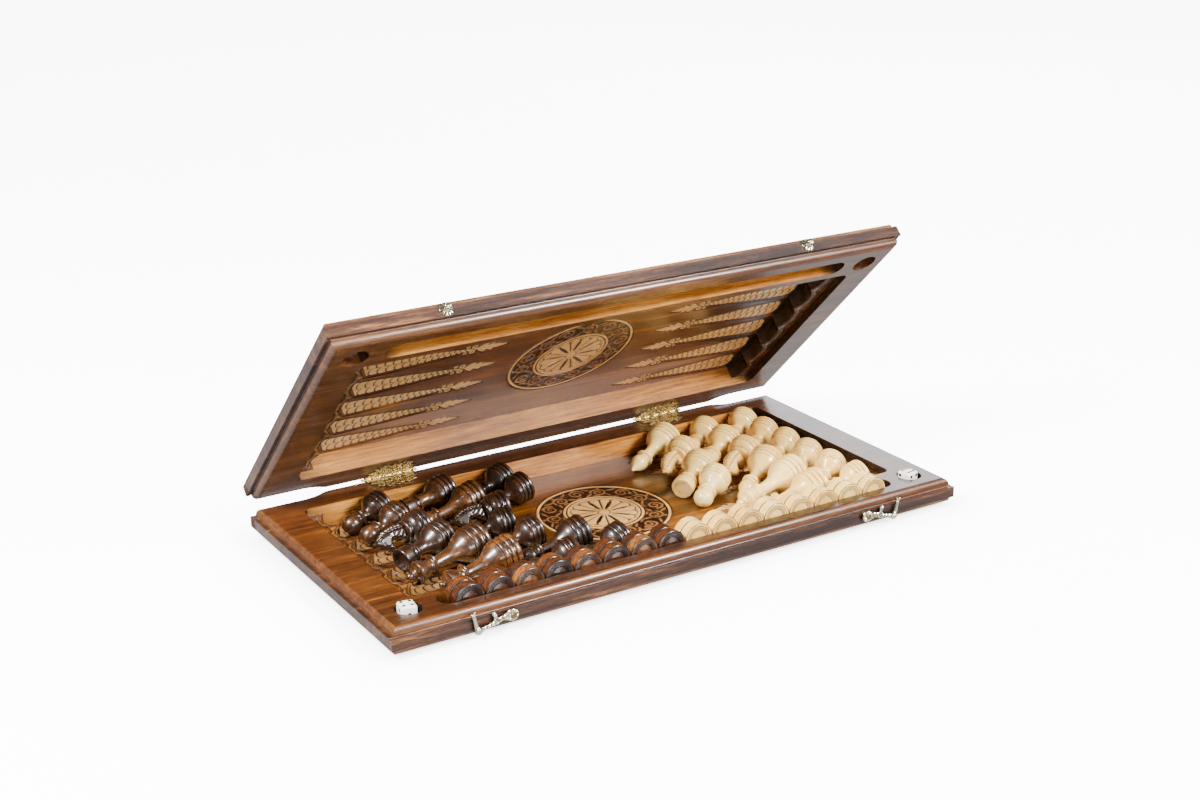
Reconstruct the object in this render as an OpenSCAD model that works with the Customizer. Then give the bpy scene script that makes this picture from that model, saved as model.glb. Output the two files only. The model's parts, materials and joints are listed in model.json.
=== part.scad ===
// Folding games compendium: two matching hinged trays that open into a chessboard
// on the outside and a backgammon table on the inside, with chessmen, draughts and dice.
// Units are millimetres. The origin is on the table, under the middle of the base tray.
// +X runs along the long side to the right, +Y from the latch side to the hinge side, +Z up.

/* [Case] */
// Length of the case along the hinge
case_l = 600; // [560:10:640]
// Depth of one half, from the latch side to the hinge side
half_w = 300; // [296:1:304]
// Height of one half, table to rim
rim_z = 27; // [26:0.5:30]
// Inset of the rim from the outer face
lip_in = 9.5; // [8:0.5:11]
// Radius of the nose between rim and ledge
nose_r = 5.5; // [4:0.5:6]
// Drop from the rim to the moulded ledge
ledge_drop = 8.2; // [7:0.1:9]
// Height of the flat face below the ledge
fascia_h = 10.3; // [9:0.1:11]
// Step back under the flat face
foot_in = 3; // [2:0.5:4]
// Thickness of the wood left between the board and the foot of the frame
foot_z = 3; // [2:0.5:3.5]
// Length of moulding carried round each hinge corner
corner_run = 50; // [40:5:60]
// Radius on which the corner moulding runs out
run_r = 40; // [30:5:60]

/* [Lid] */
// Opening angle of the lid as drawn
lid_open = 45; // [30:1:90]
// Offset of the hinge axis beyond the hinge side and above the rim
axis_off = 1.3; // [1.2:0.1:1.6]

/* [Recess] */
// Half length of the playing recess at the rim
rec_x = 261; // [255:1:262]
// Latch-side edge of the recess
rec_y0 = -101; // [-101:1:-99]
// Hinge-side edge of the recess
rec_y1 = 119; // [117:1:120]
// Depth to the shelf at each end
shelf_drop = 8; // [6:0.5:9]
// Half length between the cusps of the end scallops
cusp_x = 240; // [236:1:242]
// Depth of each end scallop
scallop = 8; // [6:0.5:9]
// Thickness of the playing board
board_t = 5; // [4.5:0.5:5.5]
// Inset of the playing board from the outer faces
board_in = 13; // [12:0.5:16]

/* [Slot and wells] */
// Half length of the draughts slot
slot_x = 242.5; // [238:0.5:244]
// Width of the draughts slot
slot_w = 22; // [21.6:0.2:22.4]
// Middle of the draughts slot, from the middle of the half
slot_y = -119.5; // [-120:0.5:-119]
// Depth of the draughts slot
slot_drop = 16; // [15:0.5:17]
// Depth of each dice well
well_drop = 9.5; // [9:0.5:12]
// Stoutness of the men's bellies against their lines below
pawn_girth = 1.14; // [1:0.02:1.14]
men_girth = 1.10; // [1:0.02:1.1]
royal_girth = 1.07; // [1:0.01:1.07]
// Distance of each dice well from the middle
well_x = 269; // [267:0.5:270]
// Radius of each dice well
well_r = 12; // [11:0.5:12]

/* [Hinges] */
// Distance of each hinge from the middle
hinge_x = 156; // [120:1:180]
// Length of the hinge barrel
barrel_l = 54; // [50:1:60]
// Radius of the hinge barrel
barrel_r = 1.6; // [1.5:0.05:1.65]
// Radius of the hinge pin
hpin_r = 0.8; // [0.7:0.05:0.9]
// Thickness of a hinge leaf
leaf_t = 1; // [0.8:0.1:1]
// Reach of a hinge leaf from the hinge side
leaf_w = 22; // [18:0.5:24]

/* [Latch] */
// Distance of each hook and catch from the middle
hook_x = 190; // [150:1:200]
// Height of the hook pivot above the table
hook_z = 14.6; // [14:0.1:15]
// Depth of the lid catch below the lid rim
catch_drop = 15; // [14:0.5:16]
// Droop of the hook when it hangs open
hook_droop = 12; // [8:1:14]

/* [Men] */
// Diameter of a draught
disc_d = 28.4; // [27:0.1:28.6]
// Thickness of a draught
disc_t = 10.3; // [9:0.1:10.4]
// Pitch of the draughts along the slot
disc_pitch = 28.9; // [28.9:0.1:29.1]
// Edge of a die
die_a = 14.5; // [13:0.5:15]
// Scale of the chessmen
men_k = 1; // [0.9:0.01:1]

/* [Hidden] */
$fn = 48;

hl = case_l / 2;
hw = half_w / 2;
ledge_z = rim_z - ledge_drop;
fascia_z = ledge_z - fascia_h;
floor_z = board_t;
shelf_z = rim_z - shelf_drop;
axis_y = hw + axis_off;
axis_z = rim_z + axis_off;
pitch = (rec_y1 - rec_y0) / 6;
rows = [for (i = [0:5]) rec_y0 + pitch * (i + 0.5)];
pock_r = (pow(pitch / 2, 2) + scallop * scallop) / (2 * scallop);
pock_x = cusp_x + scallop - pock_r;
mould_x = hl - corner_run;

// ---------- case halves ----------

// Outline cut away above the ledge, in inset and height
module top_cut() {
  difference() {
    translate([-2, ledge_z]) square([lip_in + 2, rim_z - ledge_z + 1]);
    translate([lip_in, rim_z - nose_r]) circle(nose_r, $fn = 64);
    translate([lip_in - nose_r, ledge_z - 1]) square([nose_r + 1, rim_z - nose_r - ledge_z + 1]);
  }
  // quirk at the foot of the nose
  translate([lip_in - nose_r, ledge_z + 0.4]) circle(1, $fn = 24);
}

// Outline cut away under the flat face
module foot_cut() {
  translate([-2, foot_z - 1]) square([2 + foot_in, fascia_z - foot_z + 1]);
  difference() {
    translate([-2, foot_z - 1]) square([foot_in + 5, 4]);
    translate([foot_in + 3, foot_z + 3]) circle(3, $fn = 48);
  }
}

module mould() { top_cut(); foot_cut(); }

// Runs an outline along the front, with inset measured inward
module along_front(len) {
  translate([-len / 2, -hw, 0]) rotate([90, 0, 90]) linear_extrude(len) children();
}

module along_end(s) {
  mirror([s > 0 ? 1 : 0, 0, 0])
    translate([-hl, hw + 5, 0]) rotate([90, 0, 0]) linear_extrude(half_w + 10) children();
}

// Moulding carried round a hinge corner, running out on an arc
module corner_moulding(s) {
  mirror([s > 0 ? 1 : 0, 0, 0]) {
    translate([-hl - 5, hw, 0]) mirror([0, 1, 0]) rotate([90, 0, 90]) linear_extrude(corner_run + 5) top_cut();
    translate([-mould_x, hw + run_r, 0]) rotate([0, 0, 270])
      rotate_extrude(angle = 50, $fn = 96) translate([run_r, 0]) top_cut();
  }
}

module round_rect(x0, y0, x1, y1, r) {
  translate([x0 + r, y0]) square([x1 - x0 - 2 * r, y1 - y0]);
  translate([x0, y0 + r]) square([x1 - x0, y1 - y0 - 2 * r]);
  for (x = [x0 + r, x1 - r], y = [y0 + r, y1 - r]) translate([x, y]) circle(r);
}

module frame_half() {
  difference() {
    translate([-hl, -hw, foot_z]) cube([case_l, half_w, rim_z - foot_z]);
    along_front(case_l + 10) mould();
    for (s = [-1, 1]) {
      along_end(s) mould();
      corner_moulding(s);
    }
    // recess at the rim, with a shelf left at each end
    translate([0, 0, shelf_z]) linear_extrude(rim_z) round_rect(-rec_x, rec_y0, rec_x, rec_y1, 8);
    // through opening with scalloped ends
    translate([0, 0, -1]) linear_extrude(shelf_z + 2) {
      translate([-cusp_x, rec_y0]) square([2 * cusp_x, rec_y1 - rec_y0]);
      intersection() {
        for (s = [-1, 1], y = rows) translate([s * pock_x, y]) circle(pock_r, $fn = 64);
        translate([-rec_x, rec_y0]) square([2 * rec_x, rec_y1 - rec_y0]);
      }
    }
    // slot for the draughts
    translate([0, 0, rim_z - slot_drop]) linear_extrude(rim_z) round_rect(-slot_x, slot_y - slot_w / 2, slot_x, slot_y + slot_w / 2, slot_w / 2 - 0.01);
    // wells for the dice
    for (s = [-1, 1]) translate([s * well_x, slot_y + 0.5, rim_z - well_drop]) cylinder(r = well_r, h = 30, $fn = 64);
    // rebate for the playing board
    translate([-hl + board_in, -hw + board_in, -1]) cube([case_l - 2 * board_in, half_w - board_in + 2, floor_z + 1]);
    // nail holes under the hinge leaves
    for (p = leaf_nails) translate([p[0], p[1], rim_z - 9.1]) cylinder(r = 0.62, h = 12, $fn = 24);
    // pilot holes behind the hooks or catches
    for (s = [-1, 1]) translate([s * hook_x, -hw - 1, $latch]) rotate([-90, 0, 0]) cylinder(r = 1.02, h = 12.1, $fn = 24);
  }
}

module board_half() {
  difference() {
    translate([-hl + board_in + 0.15, -hw + board_in + 0.15, 0]) cube([case_l - 2 * board_in - 0.3, half_w - board_in - 0.15, floor_z]);
    // small chamfer round the outer face
    for (s = [-1, 1]) translate([s * (hl - board_in - 0.15), 0, 0]) rotate([0, 45, 0]) cube([1, half_w + 10, 1], center = true);
    translate([0, -hw + board_in + 0.15, 0]) rotate([45, 0, 0]) cube([case_l, 1, 1], center = true);
  }
}

// Places a part drawn as a second base tray as the open lid
module as_lid(a = lid_open) {
  translate([0, axis_y, axis_z]) rotate([-a, 0, 0]) translate([0, -axis_y, axis_z]) mirror([0, 0, 1]) children();
}

module base_frame() { color([0.42, 0.22, 0.10]) frame_half($latch = hook_z); }
module base_game_board() { color([0.36, 0.20, 0.10]) board_half(); }
module lid_frame() { color([0.42, 0.22, 0.10]) as_lid() frame_half($latch = rim_z - catch_drop); }
module lid_game_board() { color([0.36, 0.20, 0.10]) as_lid() board_half(); }

// ---------- hinges ----------

leaf_nails = [for (s = [-1, 1], p = [[-17, 4.5], [17, 4.5], [-9, 15.5], [9, 15.5]]) [s * hinge_x + p[0], hw - p[1]]];
knuckle = barrel_l / 5;

// Fan-shaped leaf with a scalloped outline
module leaf_plan() {
  difference() {
    union() {
      polygon([[-27, 0.6], [27, 0.6], [25.5, -4], [20, -11], [16.5, -19], [-16.5, -19], [-20, -11], [-25.5, -4]]);
      for (x = [-10.5, 0, 10.5]) translate([x, -18]) circle(4, $fn = 32);
      for (s = [-1, 1]) translate([s * 20, -8]) circle(3.6, $fn = 32);
    }
    // pierced work
    for (s = [-1, 1]) {
      translate([s * 9, -6.5]) circle(1.5, $fn = 24);
      translate([s * 3.6, -13.5]) circle(1.2, $fn = 24);
    }
    translate([0, -7.5]) circle(1.2, $fn = 24);
  }
}

// flip = 0 gives knuckles 1, 3 and 5, flip = 1 gives knuckles 2 and 4
module hinge_leaf(flip) {
  mine = flip == 0 ? [0, 2, 4] : [1, 3];
  other = flip == 0 ? [1, 3] : [0, 2, 4];
  difference() {
    union() {
      translate([0, hw - 0.6, rim_z]) linear_extrude(leaf_t) leaf_plan();
      for (k = mine) translate([-barrel_l / 2 + k * knuckle + 0.15, axis_y, axis_z]) {
        rotate([0, 90, 0]) cylinder(r = barrel_r, h = knuckle - 0.3, $fn = 32);
        translate([0, -axis_off - 0.9, -axis_off + 0.001]) cube([knuckle - 0.3, axis_off + 0.9, leaf_t - 0.001]);
      }
    }
    translate([-50, axis_y, axis_z]) rotate([0, 90, 0]) cylinder(r = hpin_r + 0.04, h = 100, $fn = 32);
    for (k = other) translate([-barrel_l / 2 + k * knuckle - 0.15, axis_y - barrel_r - 0.35, rim_z - 1]) cube([knuckle + 0.3, 5, 5]);
    for (p = [[-17, 4.5], [17, 4.5], [-9, 15.5], [9, 15.5]]) translate([p[0], hw - p[1], rim_z - 1]) cylinder(r = 0.62, h = 5, $fn = 24);
  }
}

module hinge_base_leaf_left() { color([0.80, 0.68, 0.38]) translate([-hinge_x, 0, 0]) hinge_leaf(0); }
module hinge_base_leaf_right() { color([0.80, 0.68, 0.38]) translate([hinge_x, 0, 0]) hinge_leaf(0); }
module hinge_lid_leaf_left() { color([0.80, 0.68, 0.38]) as_lid() translate([-hinge_x, 0, 0]) hinge_leaf(1); }
module hinge_lid_leaf_right() { color([0.80, 0.68, 0.38]) as_lid() translate([hinge_x, 0, 0]) hinge_leaf(1); }

module hinge_pin(x) {
  translate([x - barrel_l / 2 - 1, axis_y, axis_z]) rotate([0, 90, 0]) {
    cylinder(r = hpin_r, h = barrel_l + 2, $fn = 32);
    translate([0, 0, -0.6]) sphere(1.35, $fn = 32);
    translate([0, 0, barrel_l + 2.6]) sphere(1.35, $fn = 32);
  }
}
module hinge_pin_left() { color([0.86, 0.76, 0.48]) hinge_pin(-hinge_x); }
module hinge_pin_right() { color([0.86, 0.76, 0.48]) hinge_pin(hinge_x); }

module leaf_screws() {
  for (p = leaf_nails) translate([p[0], p[1], rim_z - 9]) {
    cylinder(r = 0.6, h = 9 + leaf_t, $fn = 24);
    translate([0, 0, 9 + leaf_t]) cylinder(r1 = 1.3, r2 = 1, h = 0.22, $fn = 24);
  }
}
module hinge_base_screws() { color([0.78, 0.66, 0.36]) leaf_screws(); }
module hinge_lid_screws() { color([0.78, 0.66, 0.36]) as_lid() leaf_screws(); }

// ---------- hooks and catches ----------

hook_y = -hw - 2.2;   // back of the hook plate
hook_t = 1.6;         // thickness of the hook plate
arm_l = 33;           // pivot to end boss

// Plan of a hook with its pivot at the origin, arm along +X, tab toward +Y
module hook_plan() {
  circle(6, $fn = 48);
  // swan-neck arm
  polygon([[3, -4.6], [10, -1.2], [16, -2.6], [24, -1.8], [33, -2.6], [33, 2.4], [25, 2.2], [19, 2.6],
           [17.4, 5], [17.8, 8.6], [15.6, 9.6], [13.2, 7.6], [13.6, 4], [10, 3.6], [4, 4.8]]);
  translate([16.3, 8.4]) circle(2.3, $fn = 24);
  translate([arm_l, 0]) circle(3.7, $fn = 32);
  // finger tab
  polygon([[31.6, 0], [36.2, 0], [35.8, 12], [36.8, 18.6], [34.2, 17.4], [31.4, 18.8], [32.2, 12]]);
}

module hook_body() {
  difference() {
    union() {
      linear_extrude(hook_t) hook_plan();
      cylinder(r1 = 5, r2 = 6, h = 2.4, $fn = 48);
      translate([0, 0, -2.1]) cylinder(r = 3.4, h = 2.2, $fn = 32);
      translate([arm_l, 0, 0]) cylinder(r1 = 3.7, r2 = 2.4, h = 2.6, $fn = 32);
    }
    translate([0, 0, -5]) cylinder(r = 1.55, h = 12, $fn = 32);
  }
}

// s = -1 puts the arm toward the left end, s = 1 toward the right end
module hook(s) {
  translate([s * hook_x, hook_y, hook_z]) mirror([s > 0 ? 1 : 0, 0, 0])
    rotate([90, 0, 0]) rotate([0, 0, 180 + hook_droop]) mirror([0, 1, 0]) hook_body();
}
module hook_left() { color([0.86, 0.82, 0.66]) hook(-1); }
module hook_right() { color([0.86, 0.82, 0.66]) hook(1); }

module hook_screws() {
  color([0.80, 0.74, 0.54])
    for (s = [-1, 1]) translate([s * hook_x, -hw, hook_z]) rotate([90, 0, 0]) {
      translate([0, 0, -11]) cylinder(r = 1, h = 11, $fn = 24);
      translate([0, 0, -0.001]) cylinder(r = 1.5, h = 5, $fn = 32);
      difference() {
        translate([0, 0, 4.8]) cylinder(r1 = 3, r2 = 2.2, h = 1.1, $fn = 32);
        translate([-4, -0.35, 5.4]) cube([8, 0.7, 2]);
      }
    }
}

module catch_body() {
  translate([0, 0, -11]) cylinder(r = 1, h = 11, $fn = 24);
  rotate_extrude($fn = 48) polygon([[0, 0], [6.5, 0], [6.3, 0.9], [4.6, 1.5], [2, 1.5], [2, 5.2], [3.2, 5.6], [3.4, 6.4], [2.4, 7.4], [0, 7.8]]);
}
module lid_catch(s) {
  as_lid() translate([s * hook_x, -hw, rim_z - catch_drop]) rotate([90, 0, 0]) catch_body();
}
module lid_catch_left() { color([0.86, 0.82, 0.66]) lid_catch(-1); }
module lid_catch_right() { color([0.86, 0.82, 0.66]) lid_catch(1); }

// ---------- chessmen ----------
// Each man is turned about an axis from its base at 0, and is given as [distance, radius] pairs

function pawn_line() = [[0, 0], [0, 12.6], [1.2, 13.4], [3, 13.4], [3.8, 12.5], [4.8, 12.6], [5.8, 13.3], [7.2, 13.3], [8, 12.6], [9, 12.8], [11, 13.1], [13.4, 12.8], [16, 11.6], [18.6, 9.6], [21, 7.2], [23.4, 5.5], [26, 4.8], [29, 4.8], [29.6, 9], [31.6, 9.3], [32.4, 5.6], [33, 5.2]];
function rook_line() = [[0, 0], [0, 14], [1.4, 14.9], [3.6, 14.9], [4.6, 13.8], [5.6, 13.9], [6.6, 14.7], [8.4, 14.7], [9.4, 13.9], [10.4, 14.1], [12.8, 14.5], [15.6, 14.1], [18.6, 12.6], [21.6, 10.4], [24.6, 8.3], [28, 7], [34, 6.5], [38, 6.6], [38.8, 9.8], [41, 10], [42, 8], [43.4, 8], [45, 10.6], [55.4, 10.9], [56, 10.3], [56, 0]];
function knight_line() = [[0, 0], [0, 14], [1.4, 14.9], [3.6, 14.9], [4.6, 13.8], [5.6, 13.9], [6.6, 14.6], [8.4, 14.6], [9.4, 13.8], [10.4, 13.9], [12.6, 13.9], [15, 13], [17.2, 11.4], [18.6, 9.8], [20, 10.6], [22, 10.6], [23, 8.4], [23, 0]];
function bishop_line() = [[0, 0], [0, 14.4], [1.4, 15.3], [3.8, 15.3], [4.8, 14.2], [5.8, 14.3], [7, 15.1], [8.8, 15.1], [9.8, 14.3], [11, 14.5], [13.6, 14.9], [16.6, 14.5], [20, 12.8], [23.4, 10.4], [26.8, 8.2], [31, 6.5], [41, 5.3], [46, 5], [46.8, 8.8], [49, 9], [50, 6], [52, 5.6], [55, 7.6], [58.6, 8.3], [62, 7.6], [66, 5.2], [70, 2.6], [73.4, 0.9], [74, 0]];
function queen_line() = [[0, 0], [0, 15.4], [1.6, 16.4], [4.2, 16.4], [5.4, 15.2], [6.4, 15.3], [7.8, 16.1], [9.8, 16.1], [11, 15.2], [12.2, 15.5], [15.2, 15.9], [18.6, 15.4], [22.6, 13.5], [26.6, 10.9], [30.6, 8.5], [35.6, 6.8], [46, 5.7], [51, 5.6], [51.8, 9.4], [54, 9.6], [55, 6.6], [57, 6.4], [64, 9], [69.4, 10.2], [70.6, 9.6], [72, 5.6], [74, 3.2], [78, 2.4], [78, 0]];
function king_line() = [[0, 0], [0, 16], [1.6, 16.9], [4.4, 16.9], [5.6, 15.7], [6.6, 15.8], [8.2, 16.6], [10.2, 16.6], [11.4, 15.7], [12.6, 16], [15.8, 16.4], [19.6, 15.9], [23.6, 14], [28, 11.2], [32.6, 8.6], [38, 7], [49, 6.1], [54, 6], [54.8, 9.8], [57.2, 10], [58.2, 7], [60.4, 6.8], [68, 9.4], [73, 10.4], [74.4, 9.4], [76.4, 4.4], [79, 3.2], [84, 2.8], [84, 0]];

module turned(line) { rotate_extrude($fn = 64) polygon([for (p = line) [p[1], p[0]]]); }

// A line made stouter by k up to the distance zb, fading to no change at zn
function stout(line, k, zb, zn) = [for (p = line) [p[0], p[1] * (1 + (k - 1) * max(0, min(1, (zn - p[0]) / (zn - zb))))]];

module pawn() { turned(concat(stout(pawn_line(), pawn_girth, 14, 27), [[33, 0]])); translate([0, 0, 41.2]) sphere(9.6, $fn = 48); }
module rook() { turned(stout(rook_line(), men_girth, 16, 30)); }
module bishop() { turned(stout(bishop_line(), men_girth, 17, 32)); }
module queen() { turned(stout(queen_line(), royal_girth, 19, 37)); translate([0, 0, 76.4]) sphere(3.2, $fn = 32); }
module king() { turned(stout(king_line(), royal_girth, 20, 39)); translate([0, 0, 81.6]) sphere(3.6, $fn = 32); }
module knight() {
  turned(stout(knight_line(), men_girth, 15, 24));
  translate([0, 6.5, 0]) rotate([90, 0, 0]) linear_extrude(13)
    polygon([[-8, 22], [-9.4, 30], [-9, 40], [-6, 49], [-1, 55.4], [1.4, 58], [3, 54.6], [7, 50.4], [12.2, 43], [13, 39.4], [10, 37.2], [5.6, 38.6], [3, 36.4], [4.6, 31], [7.6, 26], [7.6, 22]]);
}

// Lays a man on the playing floor, touching it with its belly or base ring and with its head.
// rb and sb are the radius and the distance from the base where the lower part touches,
// rh and sh the same for the head; p is [x, y, heading of the base seen from the head].
module lay(p, rb, sb, rh, sh) {
  t = atan((rb - rh) / (sh - sb));
  translate([p[0], p[1], floor_z + 0.18 + rb * cos(t) + sb * sin(t)]) rotate([0, 0, p[2]])
    rotate([0, -90 - t, 0]) scale(men_k) children();
}
module lay_pawn(p) { lay(p, 13.05 * pawn_girth, 12, 9.6, 41.2) pawn(); }
module lay_rook(p) { lay(p, 14.4 * men_girth, 14.2, 10.9, 55.4) rook(); }
module lay_knight(p) { lay(p, 14.9 * men_girth, 3.6, 14.4, 39.4) rotate([0, 0, 215]) knight(); }
module lay_bishop(p) { lay(p, 14.85 * men_girth, 15, 8.3, 58.6) bishop(); }
module lay_queen(p) { lay(p, 15.8 * royal_girth, 17, 10.2, 69.4) queen(); }
module lay_king(p) { lay(p, 16.35 * royal_girth, 17.6, 10.4, 73) king(); }

dark_wood = [0.24, 0.11, 0.05];
light_wood = [0.86, 0.72, 0.50];

// base position and heading of each man
module dark_pawns() {
  color(dark_wood) for (p = [[-186, 104, 20], [-183, 72, 20], [-54, 104, 18], [-50, 71, 10], [-102, 4.5, -8], [-93, -26, 5], [-88, -85.2, 0], [-35, -80, 10]]) lay_pawn(p);
}
module dark_rooks() { color(dark_wood) for (p = [[-170, 8, 18], [-117, 103, 13]]) lay_rook(p); }
module dark_knights() { color(dark_wood) for (p = [[-176, 40, 12], [-92, 37, 0]]) lay_knight(p); }
module dark_bishops() { color(dark_wood) for (p = [[-103.5, 69.5, 8], [-62, -56, 3]]) lay_bishop(p); }
module dark_queen() { color(dark_wood) lay_queen([-138, -60, 8]); }
module dark_king() { color(dark_wood) lay_king([-150, -24, 12]); }

module light_pawns() {
  color(light_wood) {
    // one pawn in each scallop of the right end
    for (i = [1:5]) lay_pawn([cusp_x - (i == 5 ? 3 : 2.5), rows[i] + (i == 5 ? 4.5 : 5.5), 34]);
    lay_pawn([cusp_x + 0.5, rows[0] + 1, 4]);
    for (p = [[187.5, 104.5, 34], [119.5, -9, 37]]) lay_pawn(p);
  }
}
module light_rooks() { color(light_wood) for (p = [[186, 68.5, 34], [125, 26, 36]]) lay_rook(p); }
module light_knights() { color(light_wood) for (p = [[186, 33.5, 33], [133, 66.5, 34]]) lay_knight(p); }
module light_bishops() { color(light_wood) for (p = [[137, 103.3, 27], [186, -3, 33]]) lay_bishop(p); }
module light_queen() { color(light_wood) lay_queen([188, -82.8, 3]); }
module light_king() { color(light_wood) lay_king([188, -44.6, 13]); }

// ---------- draughts and dice ----------

module draught() {
  difference() {
    cylinder(d = disc_d, h = disc_t, $fn = 64);
    // dished faces with turned rings
    for (m = [0, 1]) translate([0, 0, m * disc_t]) mirror([0, 0, m]) {
      translate([0, 0, -1]) rotate_extrude($fn = 64) {
        polygon([[0, 0], [8.6, 0], [8.2, 2], [0, 2]]);
        polygon([[10, 0], [11.6, 0], [11, 1.8], [10.6, 1.8]]);
      }
    }
    // waist line
    translate([0, 0, disc_t / 2]) rotate_extrude($fn = 64) translate([disc_d / 2, 0]) circle(0.35, $fn = 16);
  }
}
module draught_row(i0, i1) {
  for (i = [i0:i1], k = [0, 1])
    translate([(i - 7.5) * disc_pitch, slot_y + 0.15 + (k == 0 ? 0 : disc_t + 0.1), rim_z - slot_drop + disc_d / 2 + 0.05])
      rotate([90, 0, 0]) translate([0, 0, 0]) draught();
}
module dark_draughts() { color([0.40, 0.19, 0.08]) draught_row(0, 7); }
module light_draughts() { color(light_wood) draught_row(8, 15); }

module die() {
  intersection() {
    cube(die_a, center = true);
    sphere(die_a * 0.72, $fn = 64);
  }
}
module die_left() { color([0.95, 0.93, 0.88]) translate([-well_x - 1.5, slot_y + 0.5, rim_z - well_drop + die_a / 2 + 0.05]) rotate([0, 0, -8]) die(); }
module die_right() { color([0.95, 0.93, 0.88]) translate([well_x - 1.5, slot_y + 0.5, rim_z - well_drop + die_a / 2 + 0.05]) rotate([0, 0, 12]) die(); }

base_frame();
base_game_board();
lid_frame();
lid_game_board();
hinge_base_leaf_left();
hinge_base_leaf_right();
hinge_lid_leaf_left();
hinge_lid_leaf_right();
hinge_pin_left();
hinge_pin_right();
hinge_base_screws();
hinge_lid_screws();
hook_left();
hook_right();
hook_screws();
lid_catch_left();
lid_catch_right();
dark_pawns();
dark_rooks();
dark_knights();
dark_bishops();
dark_queen();
dark_king();
light_pawns();
light_rooks();
light_knights();
light_bishops();
light_queen();
light_king();
dark_draughts();
light_draughts();
die_left();
die_right();
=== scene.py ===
"""Folding games compendium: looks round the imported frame. Tray coordinates are millimetres."""

import json
import math

import bpy
import numpy as np
from mathutils import Matrix, Vector


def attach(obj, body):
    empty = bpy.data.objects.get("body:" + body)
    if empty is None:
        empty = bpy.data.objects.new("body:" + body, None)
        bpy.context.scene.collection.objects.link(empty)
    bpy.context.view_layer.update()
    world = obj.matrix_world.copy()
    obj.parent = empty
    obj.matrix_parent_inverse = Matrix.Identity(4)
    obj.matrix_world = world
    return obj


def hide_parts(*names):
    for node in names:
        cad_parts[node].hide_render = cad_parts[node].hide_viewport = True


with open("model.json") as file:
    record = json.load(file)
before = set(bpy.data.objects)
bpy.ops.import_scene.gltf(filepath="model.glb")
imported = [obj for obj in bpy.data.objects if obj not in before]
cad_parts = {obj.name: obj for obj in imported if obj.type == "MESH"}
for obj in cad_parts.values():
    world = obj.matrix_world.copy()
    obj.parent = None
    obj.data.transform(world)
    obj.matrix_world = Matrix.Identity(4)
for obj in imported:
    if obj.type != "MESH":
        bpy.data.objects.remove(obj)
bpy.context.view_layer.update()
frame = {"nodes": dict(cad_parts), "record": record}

MM = 0.001
HL, HW, RIM, FLOOR = 300.0, 150.0, 27.0, 5.0
AY, AZ, OPEN = 151.3, 28.3, 45.0
ROWS = [-101 + 220 / 6 * (i + 0.5) for i in range(6)]
CUSP, SCALLOP = 240.0, 8.0
PITCH = 220 / 6
POCK_R = ((PITCH / 2) ** 2 + SCALLOP**2) / (2 * SCALLOP)
POCK_X = CUSP + SCALLOP - POCK_R
FINE = 0.6

BODY = {n: b for b, ns in frame["record"]["behaviour"]["bodies"].items() for n in ns}
LID = (
    Matrix.Translation((0, AY, AZ))
    @ Matrix.Rotation(math.radians(-OPEN), 4, "X")
    @ Matrix.Translation((0, -AY, AZ))
    @ Matrix.Diagonal((1, 1, -1, 1))
)
BASE = Matrix.Identity(4)
rng = np.random.default_rng(7)


# ---------------------------------------------------------------- mesh helpers
def apply(M, v):
    m = np.array(M)
    return v @ m[:3, :3].T + m[:3, 3]


def mesh_object(name, verts, faces, mats, M=BASE, face_mat=None, attrs=None, smooth=True, sharp=None):
    """verts in mm, faces as lists of indices (or one array of quads); baked through M into metres."""
    v = apply(M, np.asarray(verts, float)) * MM
    flip = Matrix(M).determinant() < 0
    me = bpy.data.meshes.new(name)
    if isinstance(faces, np.ndarray):
        f = faces[:, ::-1] if flip else faces
        n, k = f.shape
        me.vertices.add(len(v))
        me.vertices.foreach_set("co", v.astype(np.float32).ravel())
        me.loops.add(n * k)
        me.loops.foreach_set("vertex_index", np.ascontiguousarray(f).astype(np.int32).ravel())
        me.polygons.add(n)
        me.polygons.foreach_set("loop_start", (np.arange(n) * k).astype(np.int32))
    else:
        me.from_pydata([tuple(p) for p in v], [], [tuple(reversed(q)) if flip else tuple(q) for q in faces])
    for m in mats:
        me.materials.append(m)
    if face_mat is not None:
        me.polygons.foreach_set("material_index", np.asarray(face_mat, np.int32))
    me.update(calc_edges=True)
    me.validate()
    for key, val in (attrs or {}).items():
        val = np.asarray(val, np.float32)
        kind = "FLOAT_VECTOR" if val.ndim == 2 else "FLOAT"
        a = me.attributes.new(key, kind, "POINT")
        a.data.foreach_set("vector" if val.ndim == 2 else "value", val.ravel())
    if smooth:
        me.polygons.foreach_set("use_smooth", np.ones(len(me.polygons), bool))
        if sharp is not None:
            me.set_sharp_from_angle(angle=math.radians(sharp))
    o = bpy.data.objects.new(name, me)
    bpy.context.scene.collection.objects.link(o)
    return o


class Bag:
    """Collects parts into one mesh with attributes."""

    def __init__(self):
        self.v, self.f, self.m, self.a, self.n = [], [], [], {}, 0

    def add(self, v, f, mat=0, **attrs):
        v = np.asarray(v, float)
        self.v.append(v)
        self.f += [tuple(i + self.n for i in q) for q in f]
        self.m += [mat] * len(f) if isinstance(mat, int) else list(mat)
        for k, val in attrs.items():
            val = np.asarray(val, float)
            if val.ndim == 0:
                val = np.full(len(v), float(val))
            self.a.setdefault(k, []).append(val)
        self.n += len(v)

    def make(self, name, mats, **kw):
        at = {k: np.concatenate(x) for k, x in self.a.items()}
        return mesh_object(name, np.vstack(self.v), self.f, mats, face_mat=self.m, attrs=at, **kw)


def grid_faces(nu, nv, off=0, wrap=False):
    u = np.arange(nu - 1 if not wrap else nu)
    w = np.arange(nv - 1)
    U, W = np.meshgrid(u, w, indexing="ij")
    U2 = (U + 1) % nu
    f = np.stack([U * nv + W, U2 * nv + W, U2 * nv + W + 1, U * nv + W + 1], -1).reshape(-1, 4)
    return f + off


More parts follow.
